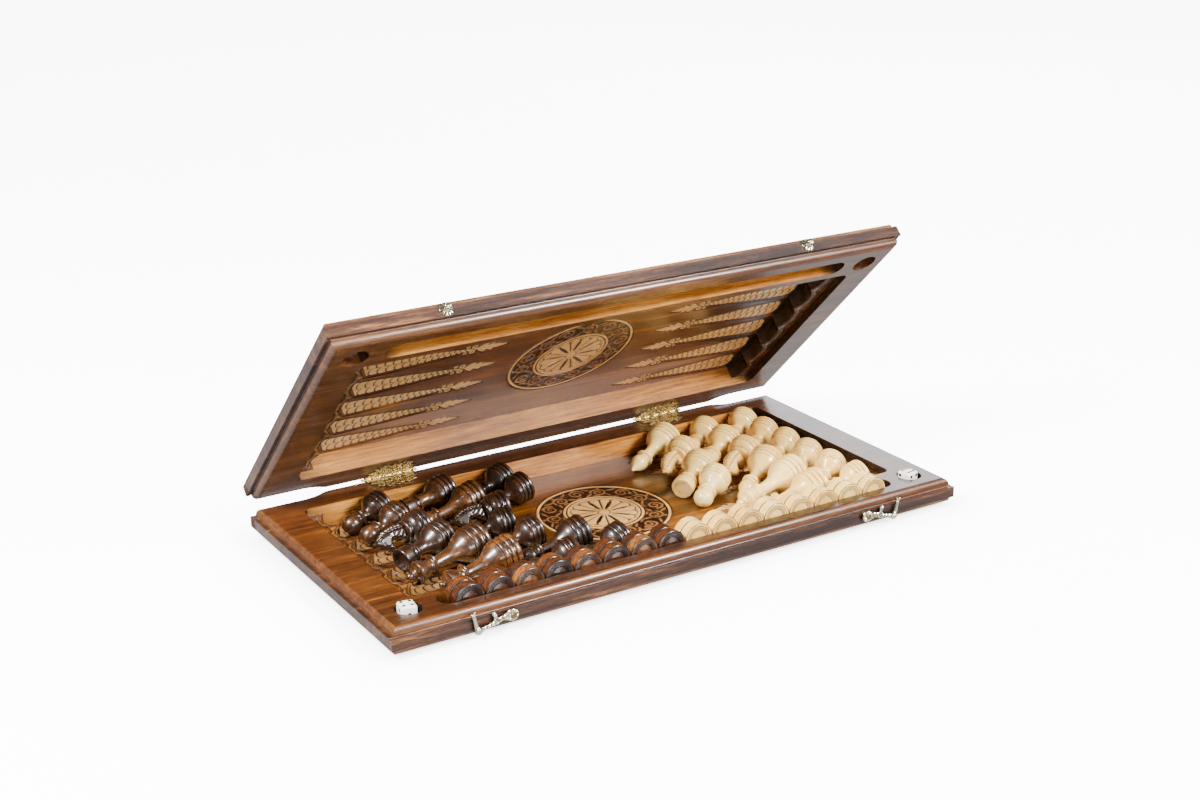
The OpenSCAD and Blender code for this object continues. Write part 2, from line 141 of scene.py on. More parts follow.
def smooth_line(pts, step=0.5, keep=28):
    """Catmull-Rom through (distance, radius) pairs; corners sharper than keep degrees stay as they are."""
    p = np.array(pts, float)
    out = []
    n = len(p)
    corner = [True] * n
    for i in range(1, n - 1):
        a, b = p[i] - p[i - 1], p[i + 1] - p[i]
        c = a.dot(b) / (np.linalg.norm(a) * np.linalg.norm(b) + 1e-9)
        corner[i] = math.degrees(math.acos(max(-1, min(1, c)))) > keep
    for i in range(n - 1):
        a, b = p[i], p[i + 1]
        L = np.linalg.norm(b - a)
        ta = (b - a) if corner[i] else (b - p[i - 1]) * L / (np.linalg.norm(b - p[i - 1]) + 1e-9)
        tb = (b - a) if corner[i + 1] else (p[i + 2] - a) * L / (np.linalg.norm(p[i + 2] - a) + 1e-9)
        k = max(1, int(L / step))
        for j in range(k):
            t = j / k
            h = [2 * t**3 - 3 * t**2 + 1, t**3 - 2 * t**2 + t, -2 * t**3 + 3 * t**2, t**3 - t**2]
            out.append(h[0] * a + h[1] * ta + h[2] * b + h[3] * tb)
    out.append(p[-1])
    out = np.array(out)
    out[:, 1] = np.maximum(out[:, 1], 0)
    return out


def lathe(line, seg=48):
    """(z, r) pairs to a turned solid about Z. Ends on the axis are closed."""
    line = np.asarray(line, float)
    z, r = line[:, 0], line[:, 1]
    a = np.arange(seg) * 2 * math.pi / seg
    body = [i for i in range(len(line)) if r[i] > 1e-4]
    v, f = [], []
    for i in body:
        v.append(np.stack([r[i] * np.cos(a), r[i] * np.sin(a), np.full(seg, z[i])], 1))
    v = np.vstack(v)
    m = len(body)
    for i in range(m - 1):
        for j in range(seg):
            k = (j + 1) % seg
            f.append((i * seg + j, i * seg + k, (i + 1) * seg + k, (i + 1) * seg + j))
    extra = []
    for end, i in ((0, body[0]), (m - 1, body[-1])):
        c = len(v) + len(extra)
        extra.append([0, 0, z[0] if end == 0 else z[-1]])
        for j in range(seg):
            k = (j + 1) % seg
            f.append((c, end * seg + k, end * seg + j) if end == 0 else (c, end * seg + j, end * seg + k))
    return np.vstack([v, np.array(extra)]), f


# ---------------------------------------------------------------- node helpers
class Mat:
    def __init__(self, name):
        self.m = bpy.data.materials.new(name)
        self.m.use_nodes = True
        self.nt = self.m.node_tree
        self.nt.nodes.clear()
        self.out = self.nt.nodes.new("ShaderNodeOutputMaterial")
        self.b = self.nt.nodes.new("ShaderNodeBsdfPrincipled")
        self.nt.links.new(self.b.outputs[0], self.out.inputs[0])

    def node(self, kind, **props):
        n = self.nt.nodes.new(kind)
        for k, v in props.items():
            setattr(n, k, v)
        return n

    def link(self, a, b):
        self.nt.links.new(a, b)

    def set(self, **kw):
        for k, v in kw.items():
            self.b.inputs[k.replace("_", " ")].default_value = v

    def math(self, op, a, b=None, c=None, clamp=False):
        n = self.node("ShaderNodeMath", operation=op, use_clamp=clamp)
        for i, x in enumerate((a, b, c)):
            if x is None:
                continue
            if isinstance(x, (int, float)):
                n.inputs[i].default_value = x
            else:
                self.link(x, n.inputs[i])
        return n.outputs[0]

    def mapping(self, vec, scale=(1, 1, 1), loc=(0, 0, 0), rot=(0, 0, 0)):
        n = self.node("ShaderNodeMapping")
        n.inputs["Scale"].default_value = scale
        n.inputs["Location"].default_value = loc
        n.inputs["Rotation"].default_value = rot
        self.link(vec, n.inputs["Vector"])
        return n.outputs[0]

    def noise(self, vec, scale=1.0, detail=3.0, rough=0.55, dist=0.0):
        n = self.node("ShaderNodeTexNoise")
        n.inputs["Scale"].default_value = scale
        n.inputs["Detail"].default_value = detail
        n.inputs["Roughness"].default_value = rough
        n.inputs["Distortion"].default_value = dist
        self.link(vec, n.inputs["Vector"])
        return n.outputs["Fac"]

    def ramp(self, fac, stops):
        n = self.node("ShaderNodeValToRGB")
        cr = n.color_ramp
        while len(cr.elements) < len(stops):
            cr.elements.new(0.5)
        for e, (p, c) in zip(cr.elements, stops):
            e.position = p
            e.color = (*srgb(c), 1)
        self.link(fac, n.inputs[0])
        return n.outputs[0]

    def mix(self, fac, a, b, blend="MIX"):
        n = self.node("ShaderNodeMix", data_type="RGBA", blend_type=blend)
        for i, x in ((0, fac), (6, a), (7, b)):
            if isinstance(x, (int, float)):
                n.inputs[i].default_value = x
            elif isinstance(x, tuple):
                n.inputs[i].default_value = (*x, 1)
            else:
                self.link(x, n.inputs[i])
        return n.outputs[2]

    def mixf(self, fac, a, b):
        n = self.node("ShaderNodeMix", data_type="FLOAT")
        for i, x in ((0, fac), (2, a), (3, b)):
            self.link(x, n.inputs[i])
        return n.outputs[0]

    def attr(self, name):
        return self.node("ShaderNodeAttribute", attribute_name=name)

    def obj(self):
        return self.node("ShaderNodeTexCoord").outputs["Object"]

    def tray(self, lid):
        """Object coordinates turned into the tray's own, in metres."""
        if not lid:
            return self.obj()
        inv = LID_M.inverted()
        return self.mapping(self.obj(), (1, 1, -1), tuple(inv.translation), (math.radians(-OPEN), 0, 0))

    def xyz(self, vec):
        n = self.node("ShaderNodeSeparateXYZ")
        self.link(vec, n.inputs[0])
        return n.outputs[0], n.outputs[1], n.outputs[2]

    def bump(self, height, dist, strength=1.0):
        n = self.node("ShaderNodeBump")
        n.inputs["Strength"].default_value = strength
        n.inputs["Distance"].default_value = dist
        self.link(height, n.inputs["Height"])
        self.link(n.outputs[0], self.b.inputs["Normal"])

    def grain(self, P, s=1.0, seed=0.0, long="x"):
        """Wood figure 0..1 with its grain along one axis, and the fine fibre on its own."""
        def sc(a, b):
            return {"x": (a, b, b), "y": (b, a, b), "z": (b, b, a)}[long]
        n1 = self.noise(self.mapping(P, sc(2.6 * s, 46 * s), (seed, seed * 0.7, seed * 1.3)), 1, 4, 0.6, 1.6)
        n2 = self.noise(self.mapping(P, sc(12 * s, 300 * s), (seed + 3, 1, 2)), 1, 4, 0.65, 0.6)
        n3 = self.noise(self.mapping(P, sc(38 * s, 1150 * s), (seed + 7, 4, 1)), 1, 3, 0.65)
        v = self.math("MULTIPLY", n1, 0.36)
        v = self.math("MULTIPLY_ADD", n2, 0.34, v)
        v = self.math("MULTIPLY_ADD", n3, 0.3, v)
        # spread the middle of the noise over the whole ramp
        v = self.math("MULTIPLY_ADD", v, 3.4, -1.2, clamp=True)
        # open pores: short dark dashes along the grain
        n4 = self.noise(self.mapping(P, sc(70 * s, 900 * s), (seed + 11, 2, 5)), 1, 2, 0.5)
        v = self.math("SUBTRACT", v, self.math("MULTIPLY", self.math("MULTIPLY_ADD", n4, 9.0, -5.4, clamp=True), 0.34), clamp=True)
        return v, n3


LID_M = (
    Matrix.Translation((0, AY * MM, AZ * MM))
    @ Matrix.Rotation(math.radians(-OPEN), 4, "X")
    @ Matrix.Translation((0, -AY * MM, AZ * MM))
    @ Matrix.Diagonal((1, 1, -1, 1))
)


def srgb(c):
    return tuple(((x / 255 + 0.055) / 1.055) ** 2.4 if x / 255 > 0.04045 else x / 255 / 12.92 for x in c)


# ---------------------------------------------------------------- materials
def frame_wood(name, lid):
    k = Mat(name)
    P = k.tray(lid)
    x, y, z = k.xyz(P)
    ax, ay = k.math("ABSOLUTE", x), k.math("ABSOLUTE", y)
    # the figure runs along the case on every rail
    v, fib = k.grain(P, 1.7, 2.0 if lid else 5.0)
    # cloudy stain over metres of rail
    cloud = k.noise(k.mapping(P, (5, 9, 9), (1.7, 0.3, 0.9)), 1, 3, 0.55, 0.8)
    v = k.math("ADD", v, k.math("MULTIPLY_ADD", cloud, 0.9, -0.45), clamp=True)
    rim = k.ramp(v, [(0.0, (24, 9, 2)), (0.3, (50, 23, 6)), (0.6, (79, 40, 10)), (0.85, (110, 61, 19)), (1.0, (145, 89, 34))])
    if lid:
        rim2 = k.ramp(v, [(0.0, (34, 16, 5)), (0.3, (66, 35, 13)), (0.6, (96, 55, 21)), (0.85, (128, 80, 34)), (1.0, (160, 108, 54))])
    else:
        rim2 = k.ramp(v, [(0.0, (16, 6, 2)), (0.3, (34, 15, 4)), (0.6, (56, 27, 7)), (0.85, (84, 45, 14)), (1.0, (118, 70, 27))])
    gold = k.ramp(v, [(0.0, (98, 52, 14)), (0.3, (144, 86, 30)), (0.6, (184, 119, 47)), (0.85, (213, 150, 67)), (1.0, (232, 180, 98))])
    dark = k.ramp(v, [(0.0, (20, 10, 7)), (0.4, (44, 24, 16)), (0.75, (80, 48, 30)), (1.0, (150, 98, 56))])
    nose = k.ramp(v, [(0.0, (44, 21, 8)), (0.5, (84, 47, 20)), (1.0, (130, 82, 38))])
    end_pocket_shade = k.ramp(v, [(0.0, (12, 6, 3)), (0.5, (32, 17, 8)), (1.0, (72, 42, 20))])
    low = k.ramp(v, [(0.0, (50, 27, 14)), (0.5, (92, 56, 32)), (1.0, (160, 110, 66))])
    front = k.math("MULTIPLY_ADD", y, -28.0, -2.5, clamp=True)
    rim = k.mix(1.0 if lid else front, rim, rim2)
    under = k.math("LESS_THAN", z, 0.02665)
    inx = k.math("LESS_THAN", ax, 0.2612)
    # long walls of the recess, the slot and its ledge are golden
    wall = k.math("MAXIMUM", k.math("GREATER_THAN", y, 0.1184), k.math("LESS_THAN", k.math("ABSOLUTE", k.math("ADD", y, 0.1012)), 0.0006))
    wall = k.math("MULTIPLY", wall, k.math("LESS_THAN", y, 0.1196))
    slot = k.math("MULTIPLY", k.math("LESS_THAN", y, -0.1066), k.math("GREATER_THAN", y, -0.1312))
    slot = k.math("MULTIPLY", slot, k.math("MULTIPLY_ADD", ax, -55.0, 13.2, clamp=True))
    body = k.math("MULTIPLY", k.math("LESS_THAN", ax, 0.2378), k.math("LESS_THAN", k.math("ABSOLUTE", k.math("SUBTRACT", y, 0.009)), 0.1105))
    inside = k.math("MULTIPLY", k.math("MULTIPLY", k.math("MAXIMUM", wall, k.math("MAXIMUM", slot, body)), under), k.math("MULTIPLY", inx, k.math("GREATER_THAN", z, 0.0052)))
    # painted shade: the golden walls darken toward their ends, fading into the painted shade of the end pockets
    inside = k.math("MULTIPLY", inside, k.math("MULTIPLY_ADD", ax, -22.0, 5.95, clamp=True))
    # painted shade: under the rim at the ends, the end pockets' walls are coloured near black where shade falls
    ends = k.math("MULTIPLY", k.math("GREATER_THAN", ax, 0.2178), under)
    ends = k.math("MULTIPLY", ends, inx)
    ends = k.math("MULTIPLY", ends, k.math("LESS_THAN", ay, 0.1322))
    out = k.math("MAXIMUM", k.math("GREATER_THAN", ax, 0.2957), k.math("GREATER_THAN", ay, 0.1457))
    fascia = k.math("MULTIPLY", out, k.math("MULTIPLY", k.math("LESS_THAN", z, 0.0189), k.math("GREATER_THAN", z, 0.0083)))
    lower = k.math("MULTIPLY", out, k.math("LESS_THAN", z, 0.0083))
    edge = k.math("MULTIPLY", k.math("LESS_THAN", z, 0.0266), k.math("MAXIMUM", k.math("GREATER_THAN", ax, 0.2905), k.math("GREATER_THAN", ay, 0.1405)))
    c = k.mix(ends, rim, end_pocket_shade)
    c = k.mix(inside, c, gold)
    c = k.mix(edge, c, nose)
    c = k.mix(fascia, c, dark)
    c = k.mix(lower, c, low)
    k.link(c, k.b.inputs["Base Color"])
    # the worn edge beside the hinges has lost its lacquer
    worn = k.math("MULTIPLY_ADD", y, 200.0, -27.4, clamp=True)
    k.link(k.math("MULTIPLY_ADD", worn, 0.5, 0.34), k.b.inputs["Roughness"])
    k.link(k.math("MULTIPLY_ADD", worn, -0.45, 0.45), k.b.inputs["Coat Weight"])
    k.set(Coat_Roughness=0.13)
    k.bump(fib, 0.0003, 0.4)
    return k.m


def board_wood(name, lid):
    k = Mat(name)
    P = k.tray(lid)
    v, fib = k.grain(P, 0.8, 9.0 if lid else 14.0)
    cloud = k.noise(k.mapping(P, (6, 11, 9), (3.1, 1.3, 0.2)), 1, 3, 0.55, 1.2)
    v = k.math("ADD", v, k.math("MULTIPLY_ADD", cloud, 1.1, -0.55), clamp=True)
    stain = k.ramp(v, [(0.0, (35, 15, 3)), (0.3, (67, 33, 6)), (0.6, (101, 55, 12)), (0.85, (136, 81, 23)), (1.0, (172, 114, 41))])
    tan = k.ramp(v, [(0.0, (188, 136, 74)), (0.5, (220, 168, 102)), (1.0, (242, 200, 136))])
    black = k.ramp(v, [(0.0, (8, 4, 2)), (1.0, (22, 11, 6))])
    mid = k.ramp(v, [(0.0, (104, 62, 30)), (1.0, (168, 114, 64))])
    pale = k.attr("tan").outputs["Fac"]
    if not lid:
        # painted shade: the points under the dark men lose some of their tan, standing for the shade the men cast
        x, _y, _z = k.xyz(P)
        pale = k.math("MULTIPLY", pale, k.math("MULTIPLY_ADD", k.math("MULTIPLY_ADD", x, 20.0, 4.4, clamp=True), 0.82, 0.18))
    c = k.mix(pale, stain, tan)
    c = k.mix(k.attr("vine").outputs["Fac"], c, mid)
    c = k.mix(k.attr("burn").outputs["Fac"], c, black)
    k.link(c, k.b.inputs["Base Color"])
    k.set(Roughness=0.32, Coat_Weight=0.4, Coat_Roughness=0.13)
    k.bump(fib, 0.00025, 0.3)
    return k.m


def chess_wood(name, lid):
    """Outer face: inlaid squares, with the stained field round them."""
    k = Mat(name)
    P = k.tray(lid)
    v, fib = k.grain(P, 0.8, 21.0 if lid else 27.0)
    x, y, z = k.xyz(P)
    sx = k.math("FLOOR", k.math("DIVIDE", x, 0.06))
    sy = k.math("FLOOR", k.math("DIVIDE", k.math("SUBTRACT", y, 0.15), 0.06))
    par = k.math("MODULO", k.math("ADD", k.math("ADD", sx, sy), 101 if lid else 100), 2)
    par = k.math("GREATER_THAN", k.math("ABSOLUTE", par), 0.5)
    field = k.math("MULTIPLY", k.math("LESS_THAN", k.math("ABSOLUTE", x), 0.24), k.math("GREATER_THAN", y, -0.09))
    stain = k.ramp(v, [(0.0, (70, 36, 14)), (0.5, (108, 62, 28)), (1.0, (146, 92, 46))])
    light = k.ramp(v, [(0.0, (186, 142, 92)), (0.5, (212, 170, 120)), (1.0, (226, 190, 142))])
    darkq = k.ramp(v, [(0.0, (52, 26, 12)), (0.5, (82, 44, 22)), (1.0, (110, 64, 34))])
    sq = k.mix(par, darkq, light)
    c = k.mix(field, stain, sq)
    c = k.mix(k.attr("tan").outputs["Fac"], c, light)
    c = k.mix(k.attr("burn").outputs["Fac"], c, srgb((34, 18, 8)))
    k.link(c, k.b.inputs["Base Color"])
    k.set(Roughness=0.3, Coat_Weight=0.5, Coat_Roughness=0.14)
    k.bump(fib, 0.00025, 0.3)
    return k.m


def turned_wood(name, stops, rough, coat, coat_rough, grain=1.6, burn=(30, 16, 8), contrast=1.0):
    k = Mat(name)
    P = k.attr("loc").outputs["Vector"]
    v, fib = k.grain(P, grain, 1.0, long="z")
    v = k.math("ADD", v, k.math("MULTIPLY", k.math("SUBTRACT", k.attr("tone").outputs["Fac"], 0.5), 0.5 * contrast), clamp=True)
    c = k.ramp(v, stops)
    c = k.mix(k.attr("burn").outputs["Fac"], c, srgb(burn))
    k.link(c, k.b.inputs["Base Color"])
    k.set(Roughness=rough, Coat_Weight=coat, Coat_Roughness=coat_rough)
    k.bump(fib, 0.0002, 0.25)
    return k.m


def metal(name, bright, dull, rough, scale=900):
    """Cast brass: bright high spots, toned hollows."""
    k = Mat(name)
    P = k.obj()
    n = k.noise(P, scale, 3, 0.6)
    h = k.attr("height").outputs["Fac"]
    f = k.math("MULTIPLY_ADD", k.math("SUBTRACT", n, 0.5), 0.35, k.math("MULTIPLY_ADD", h, 1.9, -0.6, clamp=True), clamp=True)
    c = k.mix(f, srgb(dull), srgb(bright))
    k.link(c, k.b.inputs["Base Color"])
    r = k.math("MULTIPLY_ADD", f, -0.22, rough + 0.22)
    k.link(r, k.b.inputs["Roughness"])
    k.set(Metallic=1.0)
    k.bump(n, 0.0001, 0.3)
    return k.m


M_FRAME = {0: frame_wood("frame_wood_base", False), 1: frame_wood("frame_wood_lid", True)}
M_BOARD = {0: board_wood("board_wood_base", False), 1: board_wood("board_wood_lid", True)}
M_CHESS = {0: chess_wood("chess_wood_base", False), 1: chess_wood("chess_wood_lid", True)}
M_DARK = turned_wood("dark_men_wood", [(0.0, (13, 6, 2)), (0.35, (30, 14, 4)), (0.7, (56, 29, 8)), (1.0, (112, 67, 24))], 0.34, 0.7, 0.03, burn=(12, 6, 3))
M_LIGHT = turned_wood("light_men_wood", [(0.0, (228, 176, 92)), (0.4, (242, 196, 106)), (0.75, (251, 214, 126)), (1.0, (255, 232, 156))], 0.3, 0.5, 0.05, burn=(138, 84, 28))
M_DDISC = turned_wood("dark_draught_wood", [(0.0, (36, 15, 4)), (0.4, (72, 33, 9)), (0.75, (112, 59, 19)), (1.0, (158, 97, 38))], 0.34, 0.6, 0.07, 2.2, burn=(16, 9, 6), contrast=1.4)
M_LDISC = turned_wood("light_draught_wood", [(0.0, (214, 156, 74)), (0.4, (236, 186, 96)), (0.75, (248, 208, 120)), (1.0, (255, 227, 150))], 0.34, 0.4, 0.08, 2.2, burn=(52, 26, 8))
M_ANTIQUE = metal("antique_brass", (226, 204, 150), (14, 10, 6), 0.22)
M_POLISH = metal("polished_brass", (250, 242, 212), (58, 44, 24), 0.14)
M_BRIGHT = metal("hinge_bright_brass", (250, 240, 205), (176, 150, 92), 0.14)
M_SCREW = metal("screw_brass", (240, 228, 190), (140, 120, 80), 0.2)


# ---------------------------------------------------------------- carved boards
def smoothstep(a, b, x):
    t = np.clip((x - a) / (b - a), 0, 1)
    return t * t * (3 - 2 * t)


def band(x, lo, hi, soft=0.35):
    return smoothstep(lo - soft, lo + soft, x) * (1 - smoothstep(hi - soft, hi + soft, x))


def line(d, w, soft=0.3):
    """1 on a line of half width w where |d| is the distance to its middle."""
    return 1 - smoothstep(w - soft, w + soft, np.abs(d))


# running length of the fish scales against distance from the pocket
_T = np.linspace(-2, 140, 600)


def half_width(t):
    w = np.interp(t, [0, 8, 24, 64, 108], [0, 12.6, 12.2, 8.0, 2.4])
    r = np.clip((8 - t) / 8, 0, 1)
    return np.where(t < 8, 12.6 * np.sqrt(np.clip(1 - r * r, 0, 1)), w)


_S = np.concatenate([[0], np.cumsum(np.diff(_T) / (4.2 + 0.34 * np.maximum(half_width(_T[:-1]), 2.5)))])


def spiral_points(cx, cy, r0, r1, a0, turns, flip, n=90):
    s = np.linspace(0, 1, n)
    r = r0 + (r1 - r0) * s
    a = a0 + flip * turns * 2 * math.pi * s
    return np.stack([cx + r * np.cos(a), cy + r * np.sin(a)], 1), 1.15 - 0.45 * s


def vine():
    """Centre lines of the scrolling stem round the medallion, with half widths."""
    pts, wid = [], []
    n = 14
    for i in range(n):
        a = (i + 0.5) * 2 * math.pi / n
        flip = 1 if i % 2 else -1
        mid = 50.3 + 1.2 * flip
        c = (mid * math.cos(a), mid * math.sin(a))
        p, w = spiral_points(c[0], c[1], 8.2, 1.4, a + math.pi * (0.5 if flip > 0 else -0.5) * -1, 1.6, flip)
        pts.append(p)
        wid.append(w)
        # a bud in each spiral and two leaves between neighbours
        for da, rr, L, ang in ((0.225, 57.0, 5.0, 0.6), (0.225, 43.6, 4.6, -0.7), (0.0, 59.4, 3.0, 1.2), (0.06, 41.2, 3.4, 0.2)):
            b = a + da
            q = np.linspace(0, 1, 16)
            x0, y0 = rr * math.cos(b), rr * math.sin(b)
            h = b + math.pi / 2 + ang * flip
            pts.append(np.stack([x0 + (q - 0.5) * L * 2 * math.cos(h), y0 + (q - 0.5) * L * 2 * math.sin(h)], 1))
            wid.append(0.35 + 1.0 * np.sin(q * math.pi))
    return np.vstack(pts), np.concatenate(wid)


def carve(X, Y):
    """Depth below the floor in mm, and how far each spot is bare tan, mid vine and burnt dark, with painted shade in
    the pockets.
    """
    h = np.zeros_like(X)
    tan = np.zeros_like(X)
    mid = np.zeros_like(X)
    burn = np.zeros_like(X)
    AX = np.abs(X)
    for yc in ROWS:
        t, v = 238.5 - AX, Y - yc
        near = (np.abs(v) < 17.5) & (t < 153)
        t, v = t[near], v[near]
        w = half_width(t)
        av = np.abs(v)
        body = (1 - smoothstep(-0.35, 0.35, av - w)) * (t > 0) * (t < 110)
        phi = np.interp(t, _T, _S)
        arc = 0.42 * np.sqrt(np.clip(1 - (2 * av / np.maximum(w, 0.1) - 1) ** 2, 0, 1))
        ph = phi + arc + 0.5 * (v > 0)
        fr = np.abs((ph + 0.5) % 1.0 - 0.5) * (4.2 + 0.34 * np.maximum(w, 2.5))
        net = np.maximum(line(fr, 0.78), line(av, 0.5)) * body
        rimline = line(av - w - 0.35, 0.85) * (t > -1.5) * (t < 110)
        outer = line(av - w - 3.7, 0.5) * (t > 1) * (t < 106) * (av < 17.2)
        moat = band(av - w, 0.6, 3.4, 0.5) * (t > -2) * (t < 108)
        # painted shade: the pocket floor beyond the scallops is set near black and left without tan or carved lines
        pocket = smoothstep(-0.4, 0.4, 238.2 - t - 238.2) * (AX[near] > 236.5)
        # a leafy curl on each side of the neck
        cx = t - 114.5
        curl = np.hypot(cx, av - 4.6)
        ring = band(curl, 1.3, 3.2, 0.3)
        stem = (1 - smoothstep(1.2, 1.8, av)) * band(t, 107, 122, 0.6)
        curl2 = np.hypot(t - 107.5, av - 5.8)
        ring2 = band(curl2, 0.9, 2.2, 0.3)
        # arrow tip: two barbed lobes and a spear
        wt = np.interp(t, [118, 120, 123.4, 127.5, 128.2, 130, 134.5, 135.4, 138, 150], [0.8, 3.0, 6.2, 8.2, 3.4, 4.6, 6.6, 2.8, 3.6, 0.0])
        tip = (1 - smoothstep(-0.3, 0.4, av - wt)) * (t > 118) * (t < 150)
        orn = np.maximum.reduce([ring, ring2, stem, tip])
        around = np.maximum.reduce([
            line(curl - 3.8, 0.6),
            line(curl - 0.7, 0.7),
            line(curl2 - 2.7, 0.5),
            line(av - wt - 0.75, 0.75) * (t > 117) * (t < 151),
        ]) * (t > 104)
        vein = np.maximum(line(av, 0.32) * (t > 122) * (t < 145), line(np.abs(av - 0.75 * (t - 119)), 0.3) * (t > 121) * (t < 128))
        T = np.clip(np.maximum(body, orn), 0, 1)
        B = np.clip(np.maximum.reduce([net, rimline, 0.85 * outer, around * (1 - tip), vein * 0.8, pocket]), 0, 1)
        tan[near] = np.maximum(tan[near], T * 0.92 * (1 - pocket))
        burn[near] = np.maximum(burn[near], np.clip(B + 0.22 * moat, 0, 1))
        h[near] = np.minimum(h[near], -(0.8 * B * (1 - pocket) + 0.5 * moat * (1 - T)))
    # medallion
    Xm, Ym = X, Y - 8.0
    R = np.hypot(Xm, Ym)
    near = R < 67
    r, a = R[near], np.arctan2(Ym[near], Xm[near])
    ringA, ringB = band(r, 61.9, 64.4), band(r, 36.4, 38.9)
    disc = 1 - smoothstep(34.6, 35.2, r)
    ground = band(r, 39.6, 61.2, 0.4)
    grooves = np.maximum.reduce([line(r - 65.1, 0.55), line(r - 61.3, 0.5), line(r - 39.4, 0.5), line(r - 35.8, 0.5)])
    n = 16
    s = (a / (2 * math.pi) * n) % 1.0 - 0.5  # 0 at the middle of a petal
    k = np.floor(a / (2 * math.pi) * n).astype(int)
    side = np.abs(np.abs(s) - 0.5) * 2 * math.pi / n * r  # distance to the nearest spoke
    near_spoke = np.where(s > 0, k + 1, k) % 2 == 0
    wid = np.where(near_spoke, np.interp(r, [6, 8, 12, 23, 30.5], [0, 1.0, 1.7, 2.0, 0.2]), np.interp(r, [8, 12, 24, 31], [0.3, 0.7, 0.8, 0.4]))
    spoke = (1 - smoothstep(-0.25, 0.3, side - wid)) * band(r, 7.4, 31.5)
    px, py = r * np.cos(s * 2 * math.pi / n) - 27.2, r * np.sin(s * 2 * math.pi / n)
    petal = line(np.hypot(px, py) - 5.1, 0.55) * (px > -0.5)
    hub = line(r - 5.9, 0.6)
    vol = line(np.hypot(r - 31.6, side) - 1.5, 0.35)
    D = np.clip(np.maximum.reduce([spoke, petal, hub, vol * 0.8]), 0, 1) * disc
    pts, wv = vine()
    gx, gy = Xm[near], Ym[near]
    vm = np.zeros_like(r)
    idx = np.where(ground > 0.02)[0]
    for c0 in range(0, len(idx), 4000):
        ii = idx[c0 : c0 + 4000]
        d = np.hypot(gx[ii, None] - pts[None, :, 0], gy[ii, None] - pts[None, :, 1]) - wv[None, :]
        vm[ii] = 1 - smoothstep(-0.25, 0.35, d.min(1))
    vm *= ground
    tan[near] = np.maximum(tan[near] * 0, np.maximum.reduce([ringA, ringB, disc]))
    mid[near] = vm * (1 - np.maximum(ringA, ringB))
    burn[near] = np.clip(np.maximum.reduce([grooves, ground * (1 - vm) * 0.97, D]), 0, 1)
    h[near] = -np.maximum.reduce([grooves * 0.9, ground * (1 - vm) * 1.1, D * 0.9, ground * vm * 0.25])
    return h, tan, mid, burn


def outer_face():
    """Grid lines and depths of the chessboard side."""
    e = 0.45
    def cuts(a, b, lines):
        g = {a, b}
        for q in lines:
            g |= {q - e, q, q + e}
        return np.array(sorted(x for x in g if a <= x <= b))
    sq = [i * 60.0 for i in range(-4, 5)]
    xs = cuts(-286.4, 286.4, sq + [-266, 266, -254, 254])
    ys = cuts(-136.4, 150.0, [150 - i * 60.0 for i in range(1, 5)] + [-116, -104])
    X, Y = np.meshgrid(xs, ys, indexing="ij")
    def on(A, qs):
        return np.min([np.abs(A - q) for q in qs], 0) < 0.01
    inx, iny = np.abs(X) <= 240.5, Y >= -90.5
    g = (on(X, sq) & iny & inx) | (on(Y, [150 - i * 60.0 for i in range(1, 5)]) & inx)
    for q, w in ((266, -116), (254, -104)):
        g |= (np.abs(np.abs(X) - q) < 0.01) & (Y >= w - 0.01)
        g |= (np.abs(Y - w) < 0.01) & (np.abs(X) <= q + 0.01)
    return X, Y, g


def board(lid):
    tag = "lid" if lid else "base"
    M = LID if lid else BASE
    xs = np.arange(-250, 250.01, FINE)
    ys = np.arange(-101.4, 119.4, FINE)
    X, Y = np.meshgrid(xs, ys, indexing="ij")
    h, tan, mid, burn = carve(X, Y)
    hgt = FLOOR + 0.0 + h
    v1 = np.stack([X, Y, hgt], -1).reshape(-1, 3)
    f1 = grid_faces(len(xs), len(ys))
    OX, OY, g = outer_face()
    v2 = np.stack([OX, OY, np.where(g, 0.45, 0.0)], -1).reshape(-1, 3)
    f2 = grid_faces(*OX.shape)[:, ::-1] + len(v1)
    # plain border of the inner side, and the four edges with their small chamfer
    x0, x1, y0, y1 = xs[0], xs[-1], ys[0], ys[-1]
    ex, ey0, ey1 = 286.85, -136.85, 150.0
    b = len(v1) + len(v2)
    v3 = [(-ex, ey0, 5), (ex, ey0, 5), (ex, ey1, 5), (-ex, ey1, 5), (x0, y0, 5), (x1, y0, 5), (x1, y1, 5), (x0, y1, 5),
          (-ex, ey0, 0.45), (ex, ey0, 0.45), (ex, ey1, 0.45), (-ex, ey1, 0.45),
          (-286.4, -136.4, 0), (286.4, -136.4, 0), (286.4, 150, 0), (-286.4, 150, 0)]
    f3 = [(0, 1, 5, 4), (1, 2, 6, 5), (2, 3, 7, 6), (3, 0, 4, 7), (8, 9, 1, 0), (9, 10, 2, 1), (10, 11, 3, 2), (11, 8, 0, 3),
          (12, 13, 9, 8), (13, 14, 10, 9), (14, 15, 11, 10), (15, 12, 8, 11)]
    f3 = np.array(f3) + b
    faces = np.vstack([f1, f2, f3])
    mats = np.concatenate([np.zeros(len(f1)), np.ones(len(f2)), np.zeros(4), np.ones(8)])
    z2 = np.zeros(len(v2))
    lines = ((np.abs(np.abs(OX) - 260) < 6) & (OY > -104)) | ((np.abs(OY + 110) < 6) & (np.abs(OX) < 254))
    at = {
        "tan": np.concatenate([tan.ravel(), z2, np.zeros(16)]),
        "vine": np.concatenate([mid.ravel(), z2, np.zeros(16)]),
        "burn": np.concatenate([burn.ravel(), g.ravel().astype(float), np.zeros(16)]),
    }
    o = mesh_object(f"{tag}_board_carved", np.vstack([v1, v2, np.array(v3, float)]), faces, [M_BOARD[lid], M_CHESS[lid]], M, mats, at, smooth=False)
    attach(o, BODY[f"{tag}_game_board"])
    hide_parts(f"{tag}_game_board")
    return o


